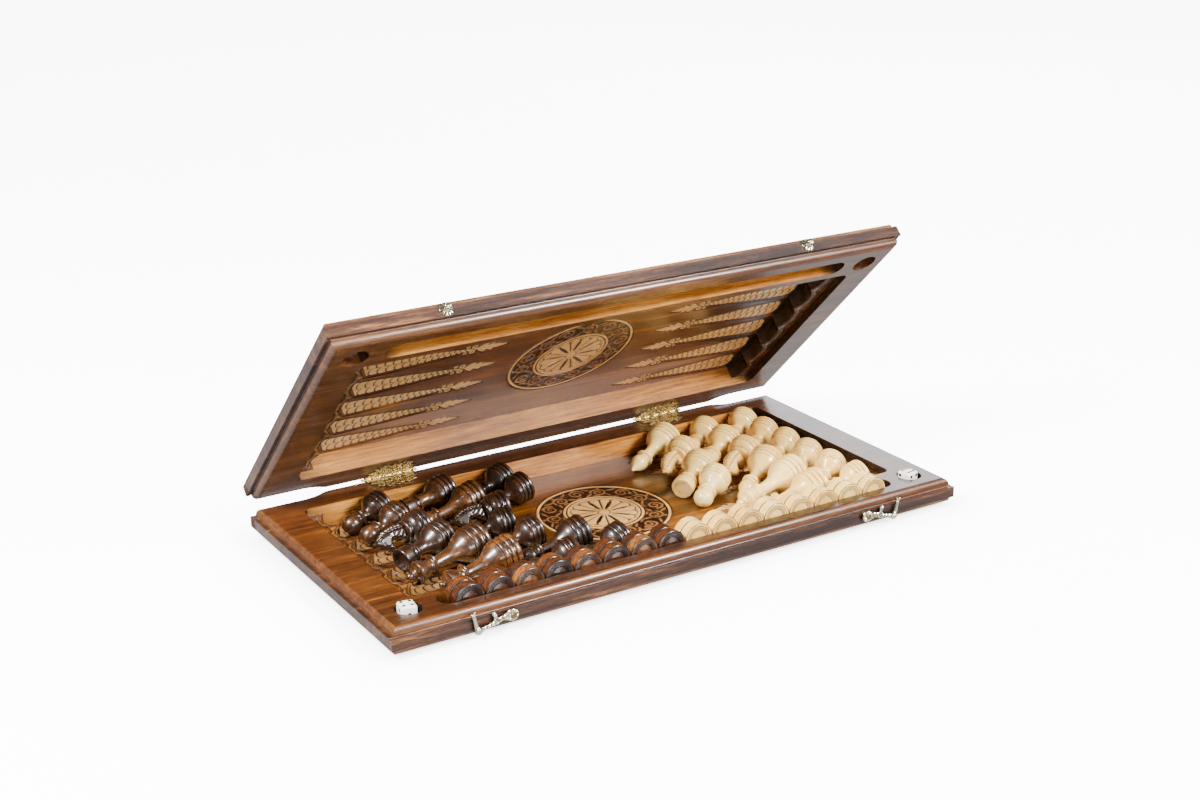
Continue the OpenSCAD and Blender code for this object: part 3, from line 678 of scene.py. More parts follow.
def scallop_edge(y):
    """x of the pocket edge at y."""
    yy = ((y + 101) % PITCH) - PITCH / 2
    return POCK_X + np.sqrt(np.clip(POCK_R**2 - yy**2, 0, None))


def shelf_strips(lid):
    """The carved strand that follows the scallops on each end shelf."""
    tag = "lid" if lid else "base"
    M = LID if lid else BASE
    step = 0.45
    ys = np.arange(-99.6, 117.7, step)
    n = 44
    bag_v, bag_f, burn, tan, off = [], [], [], [], 0
    for s in (-1, 1):
        e = scallop_edge(ys) + 0.5
        # round the two far corners with the recess
        corner = np.minimum(ys + 101, 119 - ys)
        wall = 260.7 - np.where(corner < 8, 8 - np.sqrt(np.clip(64 - (8 - corner) ** 2, 0, None)), 0)
        u = np.linspace(0, 1, n)
        X = e[:, None] + (wall - e)[:, None] * u
        Y = np.repeat(ys[:, None], n, 1)
        d = X - e[:, None]
        yy = np.abs(((Y + 101) % PITCH) - PITCH / 2)
        q = yy / (PITCH / 2)
        ph = 2 * math.pi * (Y + 101) / (PITCH / 3)
        inner = 1.7 + 0.35 * np.cos(ph)
        outer = 5.9 + 2.4 * smoothstep(0.55, 1.0, q) + 0.75 * np.cos(ph)
        strand = band(d, 0, 1) * 0 + smoothstep(-0.3, 0.3, d - inner) * (1 - smoothstep(-0.3, 0.3, d - outer))
        curl = np.hypot(d - 4.9, (yy - PITCH / 2 + 4.6))
        curl2 = np.hypot(d - 3.6, (yy - 4.4))
        dark = np.clip(np.maximum.reduce([
            line(d - inner, 0.75), line(d - outer, 0.95),
            line(curl - 2.1, 0.55), (1 - smoothstep(0.5, 1.0, curl)), line(curl2 - 1.2, 0.4),
            line(d - outer - 2.1 - 0.5 * np.cos(ph), 0.45) * (q > 0.35) * 0.9,
        ]), 0, 1)
        H = 19.5 - 0.5 * dark - 0.12 * (1 - strand)
        H[:, 0] = 19.0
        H[:, -1] = 19.0
        v = np.stack([s * X, Y, H], -1).reshape(-1, 3)
        f = grid_faces(len(ys), n)
        f = f if s < 0 else f[:, ::-1]
        bag_v.append(v)
        bag_f.append(f + off)
        burn.append(dark.ravel())
        tan.append((0.25 * strand).ravel())
        off += len(v)
    o = mesh_object(f"{tag}_shelf_carving", np.vstack(bag_v), np.vstack(bag_f), [M_BOARD[lid]], M, None,
                    {"burn": np.concatenate(burn), "tan": np.concatenate(tan), "vine": np.concatenate(tan) * 0})
    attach(o, BODY[f"{tag}_frame"])


for lid in (0, 1):
    board(lid)
    shelf_strips(lid)
    o = frame["nodes"][("lid" if lid else "base") + "_frame"]
    o.material_slots[0].material = M_FRAME[lid]

# ---------------------------------------------------------------- chessmen
def stout(line_, k, zb, zn):
    """The lower part of a line made wider by k, fading out between zb and zn."""
    return [(z, r * (1 + (k - 1) * max(0, min(1, (zn - z) / (zn - zb))))) for z, r in line_]


def grooved(line_, at):
    """The ring grooves at the given heights cut deeper, with the rings between them rounded off."""
    out = []
    for i, (z, r) in enumerate(line_):
        near = any(0 <= j < len(line_) and line_[j][0] in at for j in (i - 1, i + 1))
        out.append((z, r - (0.7 if z in at else 0.32 if near else 0)))
    return out


PAWN = [(0, 0), (0, 12.4), (0.5, 13.1), (1.7, 13.4), (2.8, 13.35), (3.3, 12.9), (3.8, 12.3), (4.3, 12.3), (4.9, 12.8), (5.7, 13.25), (6.5, 13.3), (7.2, 13.2), (7.7, 12.8), (8.1, 12.4), (8.6, 12.45), (9.2, 12.85), (10.4, 13.1), (11.6, 13.1), (12.4, 12.95), (12.8, 12.5), (13.2, 12.4), (13.7, 12.65), (16, 11.6), (18.6, 9.6),
        (21, 7.2), (23.4, 5.5), (26, 4.8), (28.8, 4.8), (29.3, 7.6), (30.0, 9.0), (30.8, 9.3), (31.5, 8.8), (31.9, 7.4), (32.5, 6.3), (33.2, 5.6)]
PAWN = stout(grooved(PAWN, (3.8, 4.3, 7.7, 8.1, 8.6, 12.8, 13.2)), 1.14, 14, 27) + [(41.2 + 9.6 * math.sin(a), 9.6 * math.cos(a)) for a in np.linspace(-0.95, math.pi / 2, 18)]
ROOK = [(0, 0), (0, 13.8), (0.6, 14.6), (1.9, 14.9), (3.4, 14.85), (4.0, 14.3), (4.5, 13.6), (5.0, 13.6), (5.7, 14.2), (6.6, 14.65), (7.5, 14.7), (8.3, 14.6), (8.9, 14.1), (9.3, 13.7), (9.8, 13.7), (10.5, 14.15), (12, 14.45), (13.4, 14.45), (14.3, 14.25), (14.7, 13.8), (15.1, 13.7), (15.7, 13.95), (18.6, 12.6), (21.6, 10.4), (24.6, 8.3), (28, 7),
        (34, 6.5), (38, 6.6), (38.6, 8.9), (39.6, 9.9), (40.8, 9.6), (41.4, 8.2), (43, 8.0), (44.6, 9.4), (46.4, 10.6), (49, 10.8), (54.6, 10.9), (55.6, 10.6), (56, 9.9), (56, 7.6), (53.6, 7.2), (53.4, 0)]
ROOK = stout(grooved(ROOK, (4.5, 5.0, 9.3, 9.8, 14.7, 15.1)), 1.1, 16, 30)
KNIGHT = [(0, 0), (0, 13.8), (0.6, 14.6), (1.9, 14.9), (3.4, 14.85), (4.0, 14.3), (4.5, 13.6), (5.0, 13.6), (5.7, 14.2), (6.6, 14.55), (7.5, 14.6), (8.3, 14.5), (8.9, 14.0), (9.3, 13.6), (9.8, 13.6), (10.5, 13.85), (12, 13.95), (13, 13.7), (15, 13), (17.2, 11.4), (18.4, 9.8), (19.2, 9.9), (20.2, 10.5), (21.2, 10.6), (22.2, 10.1), (22.8, 8.6), (23, 0)]
KNIGHT = stout(grooved(KNIGHT, (4.5, 5.0, 9.3, 9.8)), 1.1, 15, 24)
BISHOP = [(0, 0), (0, 14.2), (0.6, 15), (2.0, 15.3), (3.6, 15.25), (4.2, 14.7), (4.7, 14.0), (5.2, 14.0), (6, 14.65), (7, 15.05), (7.9, 15.1), (8.7, 15), (9.3, 14.5), (9.7, 14.1), (10.2, 14.1), (10.9, 14.5), (12.4, 14.85), (14, 14.9), (15, 14.75), (15.4, 14.3), (15.8, 14.2), (16.4, 14.45), (20, 12.8), (23.4, 10.4), (26.8, 8.2), (31, 6.5),
          (41, 5.3), (46, 5.0), (46.8, 7.9), (47.8, 8.95), (49, 8.4), (49.6, 6.6), (50.6, 5.8), (52, 5.7), (54, 7.2), (56.4, 8.2), (58.6, 8.3), (61, 7.8), (64, 6.5), (67, 4.7), (70, 2.7), (72.6, 1.4), (74, 0)]
BISHOP = stout(grooved(BISHOP, (4.7, 5.2, 9.7, 10.2, 15.4, 15.8)), 1.1, 17, 32)
QUEEN = [(0, 0), (0, 15.3), (0.6, 16.1), (2.2, 16.4), (4, 16.35), (4.7, 15.8), (5.2, 15), (5.7, 15), (6.6, 15.6), (7.8, 16.05), (8.8, 16.1), (9.7, 16), (10.4, 15.5), (10.8, 15), (11.3, 15), (12.1, 15.45), (13.8, 15.85), (15.6, 15.9), (17, 15.7), (17.4, 15.2), (17.8, 15.1), (18.4, 15.4), (22.6, 13.5), (26.6, 10.9), (30.6, 8.5), (35.6, 6.8),
         (46, 5.7), (51, 5.6), (51.8, 8.4), (52.9, 9.5), (54.2, 8.9), (54.8, 7.0), (56, 6.4), (58.4, 6.6), (62, 8.2), (66, 9.5), (69.4, 10.2), (70.6, 9.7), (71.2, 7.4), (72.6, 5.4), (73.4, 3.4)]
QUEEN = stout(grooved(QUEEN, (5.2, 5.7, 10.8, 11.3, 17.4, 17.8)), 1.07, 19, 37) + [(76.4 + 3.2 * math.sin(a), 3.2 * math.cos(a)) for a in np.linspace(-0.8, math.pi / 2, 9)]
KING = [(0, 0), (0, 15.8), (0.6, 16.6), (2.2, 16.9), (4.2, 16.85), (4.9, 16.3), (5.4, 15.5), (5.9, 15.5), (6.8, 16.1), (8.2, 16.55), (9.2, 16.6), (10.1, 16.5), (10.8, 16), (11.2, 15.5), (11.7, 15.5), (12.6, 15.95), (14.4, 16.35), (16, 16.4), (17.6, 16.2), (18, 15.7), (18.4, 15.6), (19, 15.9), (23.6, 14), (28, 11.2), (32.6, 8.6), (38, 7),
        (49, 6.1), (54, 6.0), (54.8, 8.8), (56, 9.9), (57.4, 9.2), (58, 7.4), (59.4, 6.8), (61.6, 6.9), (66, 8.6), (70, 9.8), (73, 10.4), (74.4, 9.8), (75.4, 7.2), (76.6, 4.6), (78.4, 3.6)]
KING = stout(grooved(KING, (5.4, 5.9, 11.2, 11.7, 18, 18.4)), 1.07, 20, 39) + [(81.6 + 3.6 * math.sin(a), 3.6 * math.cos(a)) for a in np.linspace(-0.6, math.pi / 2, 9)]


def burn_of(line_):
    """Fine turned grooves hold more stain: dark where the line dips between two rings."""
    z, r = line_[:, 0], line_[:, 1]
    out = np.zeros(len(r))
    for i in range(2, len(r) - 2):
        dip = min(r[max(0, i - 3) : i].max(), r[i + 1 : i + 4].max()) - r[i]
        out[i] = np.clip(dip / 0.5, 0, 1)
    return out


def horse():
    """Head and neck carved on both sides, snout toward +X, in mm above the base."""
    out = np.array([(-8.2, 21.6), (-9.6, 27), (-10.2, 33), (-9.8, 40), (-7.6, 47), (-4.2, 52.2), (-1.6, 54.6), (-1.2, 57.6), (1.6, 58.2), (2.6, 54.6), (5.2, 52), (8.2, 48.4), (11.6, 43.6), (13.0, 40.4), (12.6, 38),
                    (10.4, 36.6), (8.2, 37.4), (6.0, 38.8), (3.6, 37.8), (3.2, 35.2), (4.6, 31.6), (7.0, 27.4), (8.4, 24), (8.2, 21.6)])
    step = 0.6
    xs = np.arange(-11, 14, step)
    zs = np.arange(21.4, 59, step)
    X, Z = np.meshgrid(xs, zs, indexing="ij")
    a, b = out, np.roll(out, -1, 0)
    P = np.stack([X, Z], -1)[..., None, :]
    ab = b - a
    t = np.clip(((P - a) * ab).sum(-1) / (ab * ab).sum(-1), 0, 1)
    d = np.linalg.norm(P - (a + t[..., None] * ab), axis=-1).min(-1)
    ins = np.zeros(X.shape, bool)
    for (x0, z0), (x1, z1) in zip(a, b):
        c = ((z0 > Z) != (z1 > Z)) & (X < (x1 - x0) * (Z - z0) / (z1 - z0 + 1e-12) + x0)
        ins ^= c
    full = np.interp(Z, [21, 30, 40, 50, 58], [7.4, 6.6, 6.2, 4.8, 2.2]) * np.interp(X, [-10, 0, 6, 13], [0.94, 1.0, 0.9, 0.6])
    full = np.minimum(full, 6.4)
    k = np.clip(d / 4.2, 0, 1)
    T = full * np.sqrt(np.clip(1 - (1 - k) ** 2, 0, 1))
    # mane locks along the back, eye, cheek, nostril and mouth
    lock = np.sin((Z * 1.25 + X * 0.75) * 1.35)
    back = np.interp(Z, [21, 33, 44, 54], [-3.4, -4.6, -3.4, -0.4])
    T0 = T.copy()
    T -= 1.3 * np.clip(lock, 0, 1) * (1 - smoothstep(-0.5, 0.5, X - back)) * smoothstep(0, 1.4, d)
    T -= 1.2 * line(X - back, 0.5)
    # wavy locks across the cheek and neck
    T -= 0.8 * np.clip(np.sin(Z * 1.05 - X * 1.1) * 1.6 - 0.6, 0, 1) * smoothstep(-0.5, 0.5, X - back) * (Z < 36)
    T -= 0.9 * np.exp(-(((X - 3.6) ** 2 + (Z - 48.4) ** 2) / 1.1)) - 0.5 * np.exp(-(((X - 3.6) ** 2 + (Z - 49.8) ** 2) / 2.2))
    T -= 0.8 * np.exp(-(((X - 10.8) ** 2 + (Z - 41.6) ** 2) / 0.8))
    T -= 0.7 * line((Z - 39.4) - 0.35 * (X - 8), 0.35) * (X > 5.5)
    T -= 0.5 * line(np.hypot(X - 2.2, Z - 43.4) - 5.2, 0.45) * (Z < 47)
    hb = np.clip((T0 - T) / 1.3, 0, 1)
    T = np.where(ins, np.maximum(T, 0.15), 0)
    idx = -np.ones((2,) + X.shape, int)
    v, f, bn = [], [], []
    for side in (0, 1):
        for i in range(len(xs)):
            for j in range(len(zs)):
                if ins[i, j]:
                    bn.append(hb[i, j])
                    idx[side, i, j] = len(v)
                    v.append((X[i, j], (T[i, j] if side else -T[i, j]), Z[i, j]))
    border = {}
    for i in range(len(xs) - 1):
        for j in range(len(zs) - 1):
            q = [(i, j), (i + 1, j), (i + 1, j + 1), (i, j + 1)]
            if all(ins[p] for p in q):
                f.append(tuple(idx[0][p] for p in q))
                f.append(tuple(idx[1][p] for p in reversed(q)))
                for m in range(4):
                    e = (q[m], q[(m + 1) % 4])
                    if (e[1], e[0]) in border:
                        del border[(e[1], e[0])]
                    else:
                        border[e] = 1
    for p, q in border:
        f.append((idx[0][q], idx[0][p], idx[1][p], idx[1][q]))
    used = sorted({i for q in f for i in q})
    remap = {o: n for n, o in enumerate(used)}
    return np.array([v[i] for i in used], float), [tuple(remap[i] for i in q) for q in f], np.array([bn[i] for i in used])


MEN = {
    "dark_pawns": ("pawn", [(-186, 104, 20), (-183, 72, 20), (-54, 104, 18), (-50, 71, 10), (-102, 4.5, -8), (-93, -26, 5), (-88, -85.2, 0), (-35, -80, 10)]),
    "dark_rooks": ("rook", [(-170, 8, 18), (-117, 103, 13)]),
    "dark_knights": ("knight", [(-176, 40, 12), (-92, 37, 0)]),
    "dark_bishops": ("bishop", [(-103.5, 69.5, 8), (-62, -56, 3)]),
    "dark_queen": ("queen", [(-138, -60, 8)]),
    "dark_king": ("king", [(-150, -24, 12)]),
    "light_pawns": ("pawn", [(CUSP + 0.5, ROWS[0] + 1, 4)] + [(CUSP - 2.5 - (0.5 if i == 5 else 0), ROWS[i] + (4.5 if i == 5 else 5.5), 34) for i in range(1, 6)] + [(187.5, 104.5, 34), (119.5, -9, 37)]),
    "light_rooks": ("rook", [(186, 68.5, 34), (125, 26, 36)]),
    "light_knights": ("knight", [(186, 33.5, 33), (133, 66.5, 34)]),
    "light_bishops": ("bishop", [(137, 103.3, 27), (186, -3, 33)]),
    "light_queen": ("queen", [(188, -82.8, 3)]),
    "light_king": ("king", [(188, -44.6, 13)]),
}
REST = {"pawn": (13.05 * 1.14, 12, 9.6, 41.2), "rook": (14.4 * 1.1, 14.2, 10.9, 55.4), "knight": (14.9 * 1.1, 3.6, 14.4, 39.4), "bishop": (14.85 * 1.1, 15, 8.3, 58.6), "queen": (15.8 * 1.07, 17, 10.2, 69.4), "king": (16.35 * 1.07, 17.6, 10.4, 73)}
LINES = {"pawn": PAWN, "rook": ROOK, "knight": KNIGHT, "bishop": BISHOP, "queen": QUEEN, "king": KING}


def lay(kind, p, spin):
    rb, sb, rh, sh = REST[kind]
    t = math.atan((rb - rh) / (sh - sb))
    z = FLOOR + 0.18 + rb * math.cos(t) + sb * math.sin(t)
    return Matrix.Translation((p[0], p[1], z)) @ Matrix.Rotation(math.radians(p[2]), 4, "Z") @ Matrix.Rotation(-math.pi / 2 - t, 4, "Y") @ Matrix.Rotation(spin, 4, "Z")


seg = 56
step = 0.45
SHAPE = {k: smooth_line(v, step) for k, v in LINES.items()}
HORSE = horse()
for node, (kind, places) in MEN.items():
    bag = Bag()
    for n, p in enumerate(places):
        tone, off = rng.random(), rng.random(3) * 0.4
        M = lay(kind, p, math.radians(215) if kind == "knight" else rng.random() * 6)
        prof = SHAPE[kind]
        v, f = lathe(prof, seg)
        body = [i for i in range(len(prof)) if prof[i, 1] > 1e-4]
        burn = np.concatenate([np.repeat(burn_of(prof)[body], seg), [0, 0]])
        bag.add(apply(M, v), f, loc=v * MM + off, tone=tone, burn=burn)
        if kind == "knight":
            v, f, bn = HORSE
            bag.add(apply(M, v), f, loc=v * MM + off, tone=tone, burn=bn * 0.7)
    dark = node.startswith("dark")
    o = bag.make(node + "_turned", [M_DARK if dark else M_LIGHT], sharp=50)
    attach(o, BODY[node])
    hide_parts(node)

# ---------------------------------------------------------------- draughts
R, T = 14.2, 10.3
FACE = [(0.95, 0), (0.95, 7.3), (0.8, 7.75), (1.2, 8.05), (0.75, 8.35), (0.45, 8.8), (0.4, 9.4), (0.85, 9.75), (0.35, 10.05), (0.15, 10.6), (0.15, 11.1), (0.6, 11.45), (0.15, 11.75), (0.02, 12.4), (0.05, 13.1), (0.3, 13.75), (0.6, 14.0), (0.85, R)]
DISC = np.array(FACE + [(T / 2, R)] + [(T - z, r) for z, r in reversed(FACE)], float)
EDGED = np.array(FACE + [(2.2, R), (2.3, R - 0.3), (2.6, R - 0.3), (2.7, R), (T - 2.7, R), (T - 2.6, R - 0.3), (T - 2.3, R - 0.3), (T - 2.2, R)] + [(T - z, r) for z, r in reversed(FACE)], float)


def disc_rings_and_seam_shade(p, dark):
    z, r = p
    z = min(z, T - z)
    b = 0.0
    for g in (8.05, 9.75, 11.45):
        if z < 1.5 and abs(r - g) < 0.35:
            b = max(b, 1.0 if abs(r - g) < 0.1 else 0.4)
    if dark and z < 1.5:
        b = max(b, 0.75 if 7.5 < r < 13.4 else 0.45)
    # painted shade: the outer edge of each face is dark, standing for the shadow line in the seam between two discs
    # laid back to back
    if z < 0.7 and r > 13.6:
        b = 1.0
    if 2.25 < z < 2.65 and r < R - 0.1 and r > 13.8:
        b = 0.9
    return b


for node, lo in (("dark_draughts", 0), ("light_draughts", 8)):
    bag = Bag()
    for i in range(lo, lo + 8):
        for k in (0, 1):
            y = -119.35 + (T + 0.1 if k else 0)
            M = Matrix.Translation(((i - 7.5) * 28.9, y, RIM - 16 + 14.25)) @ Matrix.Rotation(math.pi / 2, 4, "X") @ Matrix.Rotation(rng.random() * 6, 4, "Z")
            prof = EDGED if lo == 0 else DISC
            v, f = lathe(prof, 72)
            sg = 72
            body = [q for q in prof if q[1] > 1e-4]
            burn = np.concatenate([np.repeat([disc_rings_and_seam_shade(q, lo == 0) for q in body], sg), [0.4 if lo == 0 else 0] * 2])
            loc = v[:, [2, 1, 0]] * MM + rng.random(3) * 0.5
            bag.add(apply(M, v), f, loc=loc, tone=rng.random(), burn=burn)
    o = bag.make(node + "_turned", [M_LDISC if lo else M_DDISC], sharp=38)
    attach(o, BODY[node])
    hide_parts(node)

# ---------------------------------------------------------------- dice
def die_material():
    k = Mat("die_ivory")
    n = k.noise(k.obj(), 260, 3, 0.6)
    k.link(k.mix(n, srgb((238, 232, 212)), srgb((252, 248, 236))), k.b.inputs["Base Color"])
    k.set(Roughness=0.25, Coat_Weight=0.4, Coat_Roughness=0.06, Subsurface_Weight=0.15, Subsurface_Scale=0.002)
    return k.m


def pip_material():
    k = Mat("die_spots")
    n = k.noise(k.obj(), 900, 2, 0.5)
    k.link(k.mix(n, srgb((6, 5, 5)), srgb((18, 16, 15))), k.b.inputs["Base Color"])
    k.set(Roughness=0.45)
    return k.m


M_DIE, M_PIP = die_material(), pip_material()


def die_mesh(a=14.5):
    """Rounded cube from a subdivided box, with spot dishes set in."""
    n = 22
    g = np.linspace(-1, 1, n)
    bag = Bag()
    rad = 2.1
    for ax in range(3):
        for s in (-1, 1):
            U, V = np.meshgrid(g, g, indexing="ij")
            p = np.zeros((n, n, 3))
            p[..., ax] = s
            p[..., (ax + 1) % 3] = U
            p[..., (ax + 2) % 3] = V
            p *= a / 2
            core = np.clip(p, -(a / 2 - rad), a / 2 - rad)
            d = p - core
            d /= np.linalg.norm(d, axis=-1, keepdims=True)
            q = core + d * rad
            f = grid_faces(n, n)
            f = f if s > 0 else f[:, ::-1]
            bag.add(q.reshape(-1, 3), [tuple(x) for x in f], 0)
    spots = {(2, 1): [(-1, -1), (1, 1), (-1, 1), (1, -1)], (2, -1): [(-1, -1), (0, 0), (1, 1)], (1, -1): [(0, 0)], (1, 1): [(-1, -1), (-1, 0), (-1, 1), (1, -1), (1, 0), (1, 1)], (0, 1): [(-1, -1), (1, 1), (0, 0), (-1, 1), (1, -1)], (0, -1): [(-1, 1), (1, -1)]}
    m = 14
    for (ax, s), places in spots.items():
        for u, w in places:
            ring = [(r, h) for r, h in ((1.6, 0.06), (1.3, 0.03), (0.8, 0.02))]
            v, f = [], []
            for r, h in ring:
                for j in range(m):
                    t = j * 2 * math.pi / m
                    q = [0, 0, 0]
                    q[ax] = s * (a / 2 + h)
                    q[(ax + 1) % 3] = u * 3.7 + r * math.cos(t)
                    q[(ax + 2) % 3] = w * 3.7 + r * math.sin(t)
                    v.append(q)
            for k in range(2):
                for j in range(m):
                    jj = (j + 1) % m
                    q = (k * m + j, k * m + jj, (k + 1) * m + jj, (k + 1) * m + j)
                    f.append(q if s > 0 else q[::-1])
            q = tuple(2 * m + j for j in range(m))
            f.append(q if s > 0 else q[::-1])
            bag.add(v, f, 1)
    return bag


for node, x, turn, tip in (("die_left", -270.5, -8, 0), ("die_right", 267.5, 12, 1)):
    bag = die_mesh()
    M = Matrix.Translation((x, -119, RIM - 9.5 + 7.3)) @ Matrix.Rotation(math.radians(turn), 4, "Z") @ Matrix.Rotation(math.pi / 2 * tip, 4, "X")
    bag.v = [apply(M, v) for v in bag.v]
    o = bag.make(node + "_spotted", [M_DIE, M_PIP], sharp=60)
    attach(o, BODY[node])
    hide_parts(node)

# ---------------------------------------------------------------- brass
def seg_dist(X, Y, pts, wid=0.0):
    """Distance to a polyline, less the half width of the stroke (one number, or one per point)."""
    pts = np.asarray(pts, float)
    wid = np.broadcast_to(np.asarray(wid, float), (len(pts),))
    out = np.full(X.shape, 1e9)
    for (ax, ay), (bx, by), wa, wb in zip(pts[:-1], pts[1:], wid[:-1], wid[1:]):
        dx, dy = bx - ax, by - ay
        t = np.clip(((X - ax) * dx + (Y - ay) * dy) / (dx * dx + dy * dy + 1e-12), 0, 1)
        out = np.minimum(out, np.hypot(X - ax - t * dx, Y - ay - t * dy) - (wa + (wb - wa) * t))
    return out


def poly_dist(X, Y, pts):
    """Signed distance to a closed outline, negative inside."""
    pts = np.asarray(pts, float)
    d = seg_dist(X, Y, np.vstack([pts, pts[:1]]))
    ins = np.zeros(X.shape, bool)
    for (x0, y0), (x1, y1) in zip(pts, np.roll(pts, -1, 0)):
        ins ^= ((y0 > Y) != (y1 > Y)) & (X < (x1 - x0) * (Y - y0) / (y1 - y0 + 1e-12) + x0)
    return np.where(ins, -d, d)


def relief(sdf, height, box, step, z0):
    """Plate with an outline given by sdf < 0: its top follows height, its back is flat at z0."""
    x0, y0, x1, y1 = box
    xs, ys = np.arange(x0, x1 + step, step), np.arange(y0, y1 + step, step)
    X, Y = np.meshgrid(xs, ys, indexing="ij")
    D = sdf(X, Y)
    keep = (D[:-1, :-1] < 0) & (D[1:, :-1] < 0) & (D[1:, 1:] < 0) & (D[:-1, 1:] < 0)
    # push the border vertices out to the outline
    used = np.zeros(X.shape, bool)
    cnt = np.zeros(X.shape, int)
    for a in (slice(0, -1), slice(1, None)):
        for b in (slice(0, -1), slice(1, None)):
            used[a, b] |= keep
            cnt[a, b] += keep
    edge = used & (cnt < 4)
    e = 0.05
    for _ in range(2):
        d = sdf(X, Y)
        gx, gy = (sdf(X + e, Y) - sdf(X - e, Y)) / (2 * e), (sdf(X, Y + e) - sdf(X, Y - e)) / (2 * e)
        g = np.maximum(gx * gx + gy * gy, 0.3)
        m = edge
        sx, sy = np.clip(-d * gx / g, -0.6 * step, 0.6 * step), np.clip(-d * gy / g, -0.6 * step, 0.6 * step)
        X, Y = np.where(m, X + sx, X), np.where(m, Y + sy, Y)
    H = height(X, Y)
    ny = len(ys)
    top = np.stack([X, Y, H], -1).reshape(-1, 3)
    bot = np.stack([X, Y, np.full(X.shape, z0)], -1).reshape(-1, 3)
    n = len(top)
    f, side = [], {}
    for i, j in zip(*np.where(keep)):
        q = (i * ny + j, (i + 1) * ny + j, (i + 1) * ny + j + 1, i * ny + j + 1)
        f.append(q)
        f.append(tuple(n + t for t in reversed(q)))
        for m in range(4):
            a, b = q[m], q[(m + 1) % 4]
            if (b, a) in side:
                del side[(b, a)]
            else:
                side[(a, b)] = 1
    for a, b in side:
        f.append((b, a, n + a, n + b))
    v = np.vstack([top, bot])
    live = sorted({i for q in f for i in q})
    remap = {o: k for k, o in enumerate(live)}
    lift = np.concatenate([(H.ravel() - z0), np.zeros(n)])[live]
    return v[live], [tuple(remap[i] for i in q) for q in f], lift


def curl(cx, cy, r0, r1, a0, turns, flip, n=26):
    s = np.linspace(0, 1, n)
    r, a = r0 + (r1 - r0) * s, a0 + flip * turns * 2 * math.pi * s
    return np.stack([cx + r * np.cos(a), cy + r * np.sin(a)], 1)


LEAF = [(-27, 0.6), (27, 0.6), (25.5, -4), (20, -11), (16.5, -19), (-16.5, -19), (-20, -11), (-25.5, -4)]
HOLES = [(-9, -6.5, 1.5), (9, -6.5, 1.5), (-3.6, -13.5, 1.2), (3.6, -13.5, 1.2), (0, -7.5, 1.2)]
STROKES = []
for q in (-1, 1):
    STROKES += [
        curl(q * 7.2, -8.2, 4.6, 1.0, math.pi / 2, 1.35, q),
        curl(q * 14.6, -9.2, 3.9, 0.9, math.pi * 0.5, 1.3, -q),
        curl(q * 10.4, -16.6, 3.5, 0.8, -math.pi / 2, 1.2, q),
        curl(q * 20.6, -5.6, 3.0, 0.8, math.pi * 0.6, 1.1, q),
        curl(q * 3.6, -15.6, 2.6, 0.7, -math.pi / 2, 1.1, -q),
        np.array([(q * 25, -1.6), (q * 20, -2.2), (q * 12, -3.4), (q * 4, -2.4), (0, -4.6)]),
        np.array([(0, -4.6), (q * 2.2, -9.5), (q * 0.4, -13), (0, -20.6)]),
        np.array([(q * 2.2, -9.5), (q * 6.4, -13.4), (q * 12, -13.0), (q * 18.2, -12.6)]),
        np.array([(q * 11.2, -4.2), (q * 11.0, -8.8), (q * 12.4, -13)]),
        np.array([(q * 17.2, -3.0), (q * 18.4, -7.2), (q * 22.4, -8.4)]),
        np.array([(q * 6.6, -13.6), (q * 7, -17.4), (q * 6.2, -20.6)]),
        np.array([(q * 12.6, -13.4), (q * 14.2, -16.4), (q * 14.6, -19.6)]),
    ]


def leaf_outline(X, Y):
    d = poly_dist(X, Y, LEAF)
    for cx in (-10.5, 0, 10.5):
        d = np.minimum(d, np.hypot(X - cx, Y + 18) - 4)
    for q in (-1, 1):
        d = np.minimum(d, poly_dist(X, Y, [(q * 19, -6), (q * 26.4, -8.8), (q * 22.5, -10.6), (q * 18, -12)]))
        d = np.minimum(d, poly_dist(X, Y, [(q * 15, -12), (q * 21.8, -16.8), (q * 14, -18)]))
    return d


def leaf_sdf(X, Y):
    d = leaf_outline(X, Y)
    for cx, cy, r in HOLES:
        d = np.maximum(d, r - np.hypot(X - cx, Y - cy))
    for cx, cy in ((-17, -4.5 + 0.6), (17, -4.5 + 0.6), (-9, -15.5 + 0.6), (9, -15.5 + 0.6)):
        d = np.maximum(d, 0.62 - np.hypot(X - cx, Y - cy))
    return d


def leaf_height(X, Y):
    d = np.full(X.shape, 9.0)
    for st in STROKES:
        d = np.minimum(d, seg_dist(X, Y, st))
    rib = np.sqrt(np.clip(1 - (np.minimum(d, 0.95) / 0.95) ** 2, 0, 1))
    o = leaf_outline(X, Y)
    border = np.sqrt(np.clip(1 - (np.clip(np.abs(o + 0.75), 0, 0.8) / 0.8) ** 2, 0, 1))
    holes = np.zeros(X.shape)
    for cx, cy in ((-17, -3.9), (17, -3.9), (-9, -14.9), (9, -14.9)):
        r = np.hypot(X - cx, Y - cy)
        holes = np.maximum(holes, (r < 1.9) * 0.92)
    for cx, cy, r0 in HOLES:
        holes = np.maximum(holes, np.exp(-(((np.hypot(X - cx, Y - cy) - r0 - 0.55) / 0.4) ** 2)) * 0.9)
    return 27.0 + 0.26 + 0.74 * np.clip(np.maximum.reduce([rib, border, holes]), 0, 1)


BASE_K, LID_K = (0, 2, 4), (1, 3)
leaf_step = 0.26
LEAF_V, LEAF_F, LEAF_H = relief(leaf_sdf, leaf_height, (-28, -23, 28, 1.2), leaf_step, 27.0)


